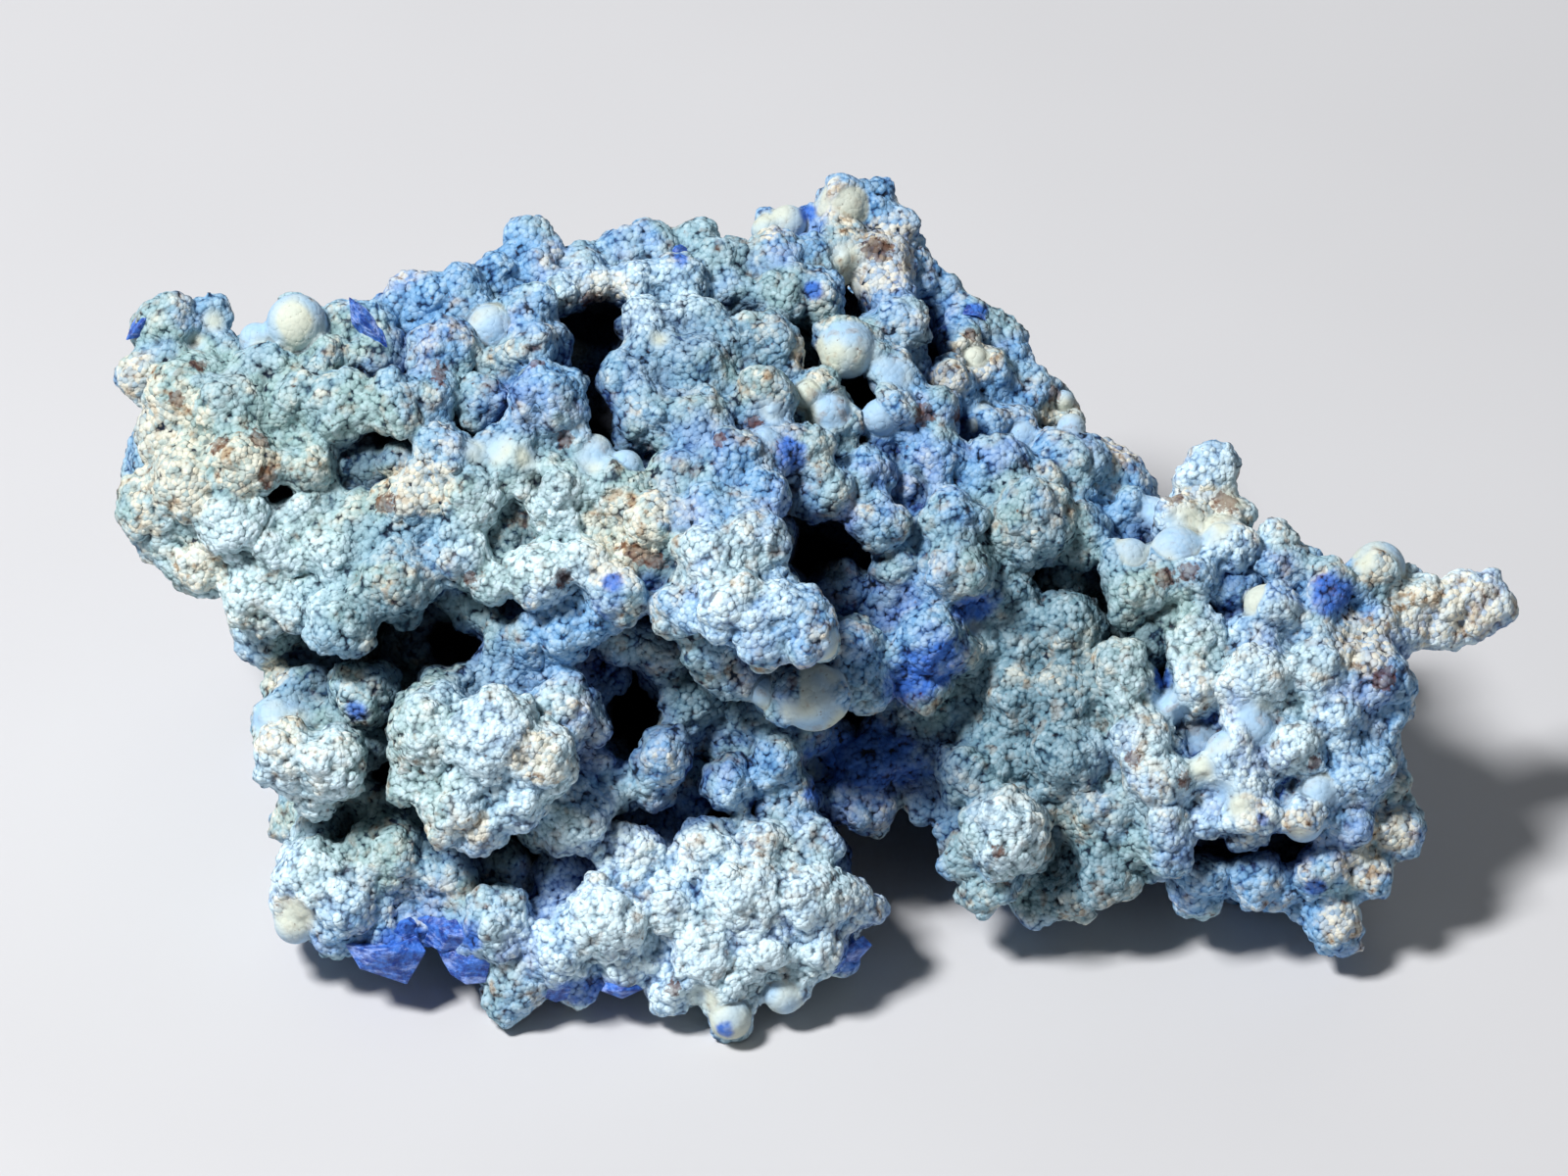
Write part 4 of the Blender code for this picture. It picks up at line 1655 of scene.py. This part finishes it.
BALLS = (
    Ball(-24.75, 13.4, 1.55, 0.9), Ball(-26.8, 12.6, 0.9, 0.6), Ball(3.0, 19.6, 1.35, 0.6),
    Ball(0.2, 18.8, 0.95), Ball(-0.9, 18.4, 0.8), Ball(3.2, 12.1, 1.45, 1.3), Ball(1.2, 9.8, 0.7, 0.5),
    Ball(2.3, 8.9, 1.1, 0.5), Ball(4.9, 8.7, 0.95, 0.6), Ball(5.4, 10.7, 1.15, 0.5),
    Ball(9.8, 11.7, 0.7), Ball(10.2, 8.6, 0.85, 0.3), Ball(12.1, 7.8, 0.9, 0.1), Ball(14.4, 9.65, 0.55),
    Ball(14.7, 8.2, 0.75), Ball(-8.0, 6.1, 0.9, 0.1), Ball(-9.6, 6.8, 1.0, 0.2),
    Ball(-14.9, 13.2, 1.2, 0.2), Ball(1.5, -5.5, 1.75, 1.9), Ball(-0.8, -5.3, 0.85),
    Ball(1.7, -2.7, 1.0), Ball(17.6, 1.5, 1.05, 0.2), Ball(20.0, 1.7, 1.45, 0.2),
    Ball(22.3, 2.2, 1.5, 0.3), Ball(30.3, 1.0, 1.4, 0.3), Ball(24.4, -0.9, 1.1),
    Ball(22.4, -8.3, 1.1, 0.4), Ball(23.8, -7.1, 1.0, 0.3), Ball(27.1, -10.3, 0.85, 0.6),
    Ball(26.3, -11.8, 1.1, 0.7), Ball(28.3, -16.8, 1.15, 0.0), Ball(-24.8, -17.0, 1.1, -0.5),
    Ball(-2.7, -21.8, 1.05), Ball(0.0, -20.6, 1.0),
)

PLAIN = tuple(
    Ball(across, up, size, size)
    for across, up, size in (
        (-26.4, -6.4, 1.1), (-25.0, -6.4, 0.9), (-24.9, -16.8, 1.1), (3.1, 16.9, 0.9), (3.0, 15.4, 0.9),
        (3.4, 14.1, 0.6), (-10.9, 12.7, 0.8), (-15.6, 6.9, 0.7), (-14.3, 6.9, 0.8), (-13.0, 6.6, 0.7),
        (19.0, 4.0, 0.9), (20.4, 3.3, 1.0), (21.9, 3.0, 1.1), (22.8, 4.4, 0.8), (21.1, -7.6, 0.6),
        (21.3, -9.0, 0.8), (22.1, -10.2, 0.7), (23.0, -11.0, 0.7), (-0.6, 8.9, 0.6), (-0.9, 7.7, 0.7),
        (5.6, 10.9, 0.9), (4.8, 11.4, 0.6), (-6.3, 12.6, 0.4), (-9.6, 6.4, 0.9), (-30.0, 12.4, 0.5),
        (-29.0, 13.6, 0.5), (19.7, -5.9, 0.9), (23.8, -6.5, 0.9), (9.5, -2.0, 0.5), (-4.0, -20.9, 0.8),
        (29.3, 1.6, 0.8), (0.4, -6.2, 0.7),
    )
)

LOBES = (
    Ball(-31.2, 13.0, 1.8), Ball(-32.7, 10.7, 1.0), Ball(-22.6, 12.9, 1.3, 0.3),
    Ball(-27.35, 6.3, 1.6, 0.5), Ball(-20.7, 5.9, 1.7, 0.6), Ball(-19.2, 6.2, 1.4, 0.4),
    Ball(-22.0, 6.0, 1.3, 0.2), Ball(-24.2, 5.4, 1.2, -0.2), Ball(-25.2, 3.8, 1.2, 0.1),
    Ball(-13.0, 12.0, 2.1), Ball(-12.2, 8.95, 2.0), Ball(-17.7, 14.6, 1.5), Ball(-10.3, 16.0, 1.4),
    Ball(-15.4, 9.2, 1.9, -0.3), Ball(-20.8, 11.6, 1.8, -0.2), Ball(-14.0, 2.8, 1.5, -0.2),
    Ball(5.2, 18.1, 1.7), Ball(-7.05, 13.3, 1.5, 0.9), Ball(8.6, 10.5, 1.25, 0.6),
    Ball(8.9, 8.9, 1.1, 0.3), Ball(0.6, 12.2, 1.3, -0.5), Ball(6.2, 4.7, 1.5, -0.2),
    Ball(9.4, 8.0, 1.1, -0.3), Ball(-6.3, 0.9, 1.3, -0.1), Ball(-22.1, -2.0, 1.55, 0.5),
    Ball(-13.9, -2.3, 1.8, 0.2), Ball(-10.7, -2.3, 0.9), Ball(-17.0, -4.1, 1.4, -0.3),
    Ball(-24.2, -5.3, 1.5, 0.0), Ball(-21.1, -5.4, 1.4, 0.5), Ball(-19.5, -5.0, 0.9, 0.0),
    Ball(-23.6, -9.0, 2.3, 0.6), Ball(-12.4, -8.8, 1.5, 0.5), Ball(-15.4, -11.3, 1.9, 0.4),
    Ball(-5.9, -8.5, 1.4, 0.5), Ball(-6.4, -10.0, 1.1, 0.2), Ball(-20.2, -11.0, 0.95, 0.0),
    Ball(-14.2, -14.5, 1.8, 0.1), Ball(-11.4, -14.3, 1.7, 0.1), Ball(-5.6, -20.2, 1.3, 0.1),
    Ball(2.95, -0.3, 1.6, 0.9), Ball(-0.4, -1.9, 1.7, 0.4), Ball(-2.6, -4.2, 1.15, 0.5),
    Ball(-3.15, -7.9, 1.05, 0.3), Ball(-0.5, -8.6, 1.2, 0.2), Ball(-2.8, -10.0, 1.15, 0.4),
    Ball(4.5, -11.5, 1.0, 0.1), Ball(2.6, -11.1, 0.9, 0.1), Ball(7.5, -11.2, 0.8, 0.2),
    Ball(9.3, -9.5, 1.4, 0.4), Ball(10.9, -9.0, 0.8, 0.2), Ball(11.9, -12.8, 2.3, 0.7),
    Ball(10.2, -15.1, 1.3, 0.3), Ball(8.9, -13.9, 0.85, 0.2), Ball(14.2, -5.4, 1.2, 0.2),
    Ball(21.7, 6.2, 1.05, 0.4), Ball(21.0, 0.35, 1.5, 0.5), Ball(16.3, -0.3, 1.1, 0.3),
    Ball(25.0, 2.0, 1.2, 0.2), Ball(27.9, -0.2, 1.25, 0.4), Ball(31.9, -1.0, 1.1, 0.1),
    Ball(32.6, 0.1, 0.7, 0.3), Ball(33.6, -0.9, 1.0, 0.3), Ball(34.6, 0.0, 0.85, 0.3),
    Ball(35.8, -0.1, 0.75, 0.3), Ball(33.1, -2.0, 1.0, 0.2), Ball(34.4, -2.0, 0.7, 0.2),
    Ball(17.3, -3.7, 1.0, 0.5), Ball(17.3, -5.4, 1.15, 0.4), Ball(14.3, 0.4, 1.5, -0.2),
    Ball(15.8, 0.8, 1.3, -0.2), Ball(18.6, -2.9, 1.3, 0.2), Ball(22.9, -0.3, 1.5, -0.2),
    Ball(20.9, -7.6, 1.1, -0.1), Ball(25.4, -10.2, 0.9, -0.1), Ball(23.4, -11.8, 1.3, 0.4),
    Ball(19.3, -12.1, 0.8, 0.3), Ball(19.7, -13.6, 0.85, 0.4), Ball(21.3, -15.1, 1.5, 0.2),
    Ball(24.5, -15.1, 1.4, 0.2), Ball(27.1, -15.1, 1.2, 0.2), Ball(29.6, -14.3, 1.25, 0.4),
    Ball(31.3, -12.3, 1.15, 0.4), Ball(28.1, -17.1, 1.35, 0.3), Ball(-26.0, -1.0, 1.4, 0.2),
    Ball(18.0, -7.6, 1.5, 0.3), Ball(19.9, -9.6, 1.3, 0.3), Ball(13.1, 5.2, 1.6, 0.3),
)

PATCHES = {
    Mark.RUST: (
        Patch(-20.2, 4.3, 1.1, 0.9), Patch(-11.2, 0.5, 0.8), Patch(-15.8, 0.5, 0.6),
        Patch(-7.1, 1.6, 2.0, 0.7, -22.0), Patch(-26.0, 5.6, 0.9), Patch(-26.5, 7.5, 0.9),
        Patch(-28.5, 7.2, 0.8), Patch(-17.4, 10.8, 0.6, 1.2), Patch(-11.0, 7.5, 0.7),
        Patch(-12.5, 11.4, 0.6), Patch(-9.7, 14.7, 1.3, 0.7), Patch(4.8, 17.4, 1.3, 1.0),
        Patch(-1.5, 8.4, 0.8, 0.5), Patch(-3.3, 7.5, 0.6), Patch(7.1, 8.8, 0.9), Patch(8.9, 8.8, 0.7),
        Patch(13.9, 9.9, 0.6), Patch(19.3, 0.5, 0.8), Patch(20.5, 0.8, 0.8), Patch(17.6, -8.6, 0.7),
        Patch(10.8, -13.3, 0.6), Patch(20.3, -9.8, 0.7), Patch(26.9, -8.8, 0.6), Patch(30.4, -4.6, 1.0),
        Patch(-5.6, -20.2, 0.6), Patch(22.5, 4.4, 1.0), Patch(19.8, 4.6, 0.8), Patch(-30.8, 9.6, 0.7),
        Patch(-29.6, 11.3, 0.7), Patch(9.6, 13.0, 0.6),
    ),
    Mark.CREAM: (
        Patch(-33.0, 11.0, 1.8), Patch(-32.0, 8.4, 1.9), Patch(-27.3, 6.3, 2.6), Patch(-30.5, 5.0, 2.4),
        Patch(-31.5, 7.0, 4.5, 6.0, 0.0, 9.0, 0.75), Patch(-18.5, 5.0, 3.4, 2.2),
        Patch(-12.5, -8.5, 1.8), Patch(-15.5, -12.0, 1.2), Patch(1.8, 10.9, 1.0), Patch(8.4, 10.7, 1.7),
        Patch(4.8, 17.2, 3.2), Patch(3.0, 19.8, 1.9), Patch(-0.8, 18.4, 1.3),
        Patch(21.6, 4.0, 3.2, 2.0), Patch(29.3, -2.8, 2.6), Patch(34.0, -1.0, 5.0, 2.6, 0.0, 5.0),
        Patch(30.1, 1.2, 1.6), Patch(31.0, -12.4, 1.8), Patch(29.5, -14.2, 1.8),
        Patch(28.2, -17.0, 1.8), Patch(-26.0, -7.0, 2.2), Patch(-25.9, -4.4, 1.2),
        Patch(-24.9, -16.6, 1.8), Patch(-8.0, 3.0, 3.0), Patch(23.5, -11.3, 1.4), Patch(14.4, 8.9, 1.6),
        Patch(17.0, 7.0, 1.6), Patch(-9.0, 15.4, 2.4, 1.2), Patch(10.0, 12.0, 2.0),
        Patch(-24.75, 13.6, 1.3), Patch(26.0, -12.0, 1.2), Patch(-8.5, 1.0, 2.0), Patch(1.0, 12.0, 1.3),
        Patch(-29.5, 1.0, 2.0),
    ),
    Mark.ROYAL: (
        Patch(1.2, 19.3, 0.9), Patch(-5.3, 17.0, 0.7, 1.3), Patch(1.5, 15.2, 0.9), Patch(0.3, 6.8, 1.5),
        Patch(-8.6, 0.3, 1.0), Patch(27.9, -0.3, 2.2, 2.0), Patch(26.9, -15.2, 1.0),
        Patch(19.1, -4.6, 1.0), Patch(-9.8, -20.4, 3.6, 1.3), Patch(3.4, -18.6, 1.7, 1.9),
        Patch(9.9, 14.3, 1.2, 0.7), Patch(4.4, -8.7, 5.6, 3.2), Patch(24.2, -11.7, 0.6),
        Patch(-21.6, -6.2, 1.0), Patch(-3.0, -22.4, 0.8), Patch(-19.0, -18.0, 3.4, 1.5),
        Patch(-16.0, -17.6, 1.6, 1.4), Patch(7.2, -4.2, 4.2, 2.4, 40.0, 9.0),
        Patch(9.5, -1.0, 2.6, 1.4, 20.0), Patch(1.6, -10.3, 1.6),
    ),
    Mark.AQUA: (
        Patch(-27.0, 5.0, 13.0, 14.0, 0.0, 22.0), Patch(-20.0, -9.0, 11.0, 9.0, 0.0, 20.0),
        Patch(-12.0, 4.0, 9.0, 6.0, 0.0, 16.0), Patch(18.0, -2.0, 5.0),
    ),
    Mark.DULL: (
        Patch(12.6, -5.0, 6.5, 13.0, 0.0, 14.0), Patch(15.0, -15.0, 5.0, 4.0),
        Patch(-19.0, -1.5, 5.0, 3.0), Patch(-4.0, -5.5, 4.0, 3.0),
        Patch(-2.5, 12.0, 11.0, 7.0, 0.0, 14.0, 0.45),
    ),
    # painted light: patches painted paler, as though more brightly lit
    Mark.BRIGHT: (
        Patch(-14.5, -8.5, 8.0, 6.5), Patch(-5.0, -16.5, 13.0, 7.5, 0.0, 18.0, 1.6),
        Patch(-24.0, -9.0, 5.0), Patch(-27.0, 1.5, 7.0, 5.5), Patch(-12.0, 2.5, 7.0, 4.5),
        Patch(23.0, -7.0, 9.0, 9.0), Patch(-2.5, 0.5, 5.0, 5.0), Patch(-25.0, -15.0, 6.0, 4.0),
        Patch(34.0, -1.0, 5.0), Patch(-8.0, 15.0, 6.0, 3.5, 0.0, 0.0, 0.7), Patch(11.5, -12.5, 3.5),
        Patch(22.0, 4.0, 5.0),
    ),
    Mark.SHADE: (
        Patch(4.8, -9.5, 6.0, 4.0), Patch(-17.6, -3.0, 4.0, 2.6, 0.0, 8.0),
        Patch(14.0, -12.6, 0.9, 2.6), Patch(-9.7, 13.6, 3.4, 2.0, 0.0, 9.0),
        Patch(-9.6, 9.2, 1.6, 3.6, 0.0, 9.0), Patch(1.4, 1.6, 2.6, 2.0, 0.0, 12.0),
        Patch(-7.7, -6.5, 2.4, 4.0, 0.0, 12.0), Patch(7.5, 11.6, 1.4, 3.0, 0.0, 6.0),
        Patch(23.4, -13.3, 4.6, 1.4, 0.0, 7.0), Patch(-20.6, 7.6, 1.8, 0.7, 0.0, 6.0),
        Patch(-25.6, 4.9, 1.4, 1.4, 0.0, 4.0), Patch(4.0, 9.8, 1.5, 1.5, 0.0, 4.0),
        Patch(-20.4, -9.4, 1.4, 2.6, 0.0, 7.0), Patch(-12.0, -13.4, 5.0, 0.9, 0.0, 6.0),
        Patch(4.7, 17.5, 1.2, 0.8), Patch(12.1, -7.4, 0.9, 0.35),
        Patch(-8.4, -11.9, 1.2, 1.0, 0.0, 5.0), Patch(-5.0, -11.8, 1.2, 1.0, 0.0, 5.0),
        Patch(18.9, -4.7, 1.0, 0.9, 0.0, 3.0), Patch(24.8, -9.2, 0.35, 1.2),
        Patch(-12.5, 5.3, 1.0, 0.9, 0.0, 3.0),
    ),
}

SHARDS = (
    Shard(
        (
            (-22.1, 14.8), (-22.0, 13.4), (-21.2, 12.6), (-20.0, 12.0), (-20.3, 13.0), (-21.2, 14.2),
        ),
        0.6,
    ),
    Shard(
        (
            (-33.5, 12.6), (-32.6, 12.8), (-31.9, 14.3), (-32.5, 14.4), (-33.2, 13.5),
        ),
        0.4,
    ),
    Shard(
        (
            (-19.9, -17.5), (-19.5, -16.9), (-18.9, -16.5), (-18.6, -17.0), (-18.6, -17.6),
            (-19.2, -17.9),
        ),
        0.5,
    ),
    Shard(
        (
            (-22.3, -18.0), (-20.9, -18.0), (-19.3, -17.8), (-18.6, -17.6), (-18.1, -18.4),
            (-19.1, -20.1), (-21.5, -19.3),
        ),
        0.8,
    ),
    Shard(
        (
            (-18.6, -16.7), (-17.4, -16.4), (-16.4, -16.7), (-15.4, -17.8), (-16.2, -18.3),
            (-17.4, -18.4), (-18.2, -18.0),
        ),
        0.8,
    ),
    Shard(
        (
            (-17.6, -18.3), (-16.0, -18.3), (-15.2, -17.8), (-14.8, -18.8), (-15.1, -20.0),
            (-16.1, -20.1), (-16.9, -19.6), (-17.3, -18.9),
        ),
        0.3,
    ),
    Shard(
        (
            (-12.4, -20.6), (-11.6, -21.0), (-10.4, -20.7), (-10.2, -19.9), (-11.6, -19.8),
        ),
        0.4,
    ),
    Shard(
        (
            (-9.3, -20.4), (-8.2, -20.8), (-7.1, -20.3), (-7.8, -19.8), (-8.9, -19.8),
        ),
        0.4,
    ),
    Shard(
        (
            (2.4, -19.6), (3.4, -19.3), (4.5, -18.1), (4.0, -17.6), (2.6, -18.6),
        ),
        0.4,
    ),
    Shard(
        (
            (9.0, 14.1), (9.9, 14.1), (10.9, 13.5), (10.4, 14.4), (9.4, 14.8),
        ),
        0.3,
    ),
    Shard(
        (
            (-5.8, 17.9), (-5.7, 16.6), (-5.0, 16.0), (-4.7, 17.0), (-5.2, 17.9),
        ),
        0.3,
    ),
)


def main() -> None:
    """Build the lump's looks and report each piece."""
    logging.basicConfig(level=logging.INFO, format="%(name)s: %(message)s")
    Studio().build()
    finish = CrustFinish().make("crust")
    crust = Crust(balls=BALLS, plain=PLAIN, lobes=LOBES, shards=Shards(SHARDS), patches=PATCHES)
    for block in crust.build(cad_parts["shattuckite"], finish, ShardFinish().make("blue_corners")):
        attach(block, "root")
        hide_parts("shattuckite")
        LOG.info("%s: %d triangles", block.name, triangles_of(block.data))
    bpy.context.view_layer.update()


if __name__ == "__main__":
    main()
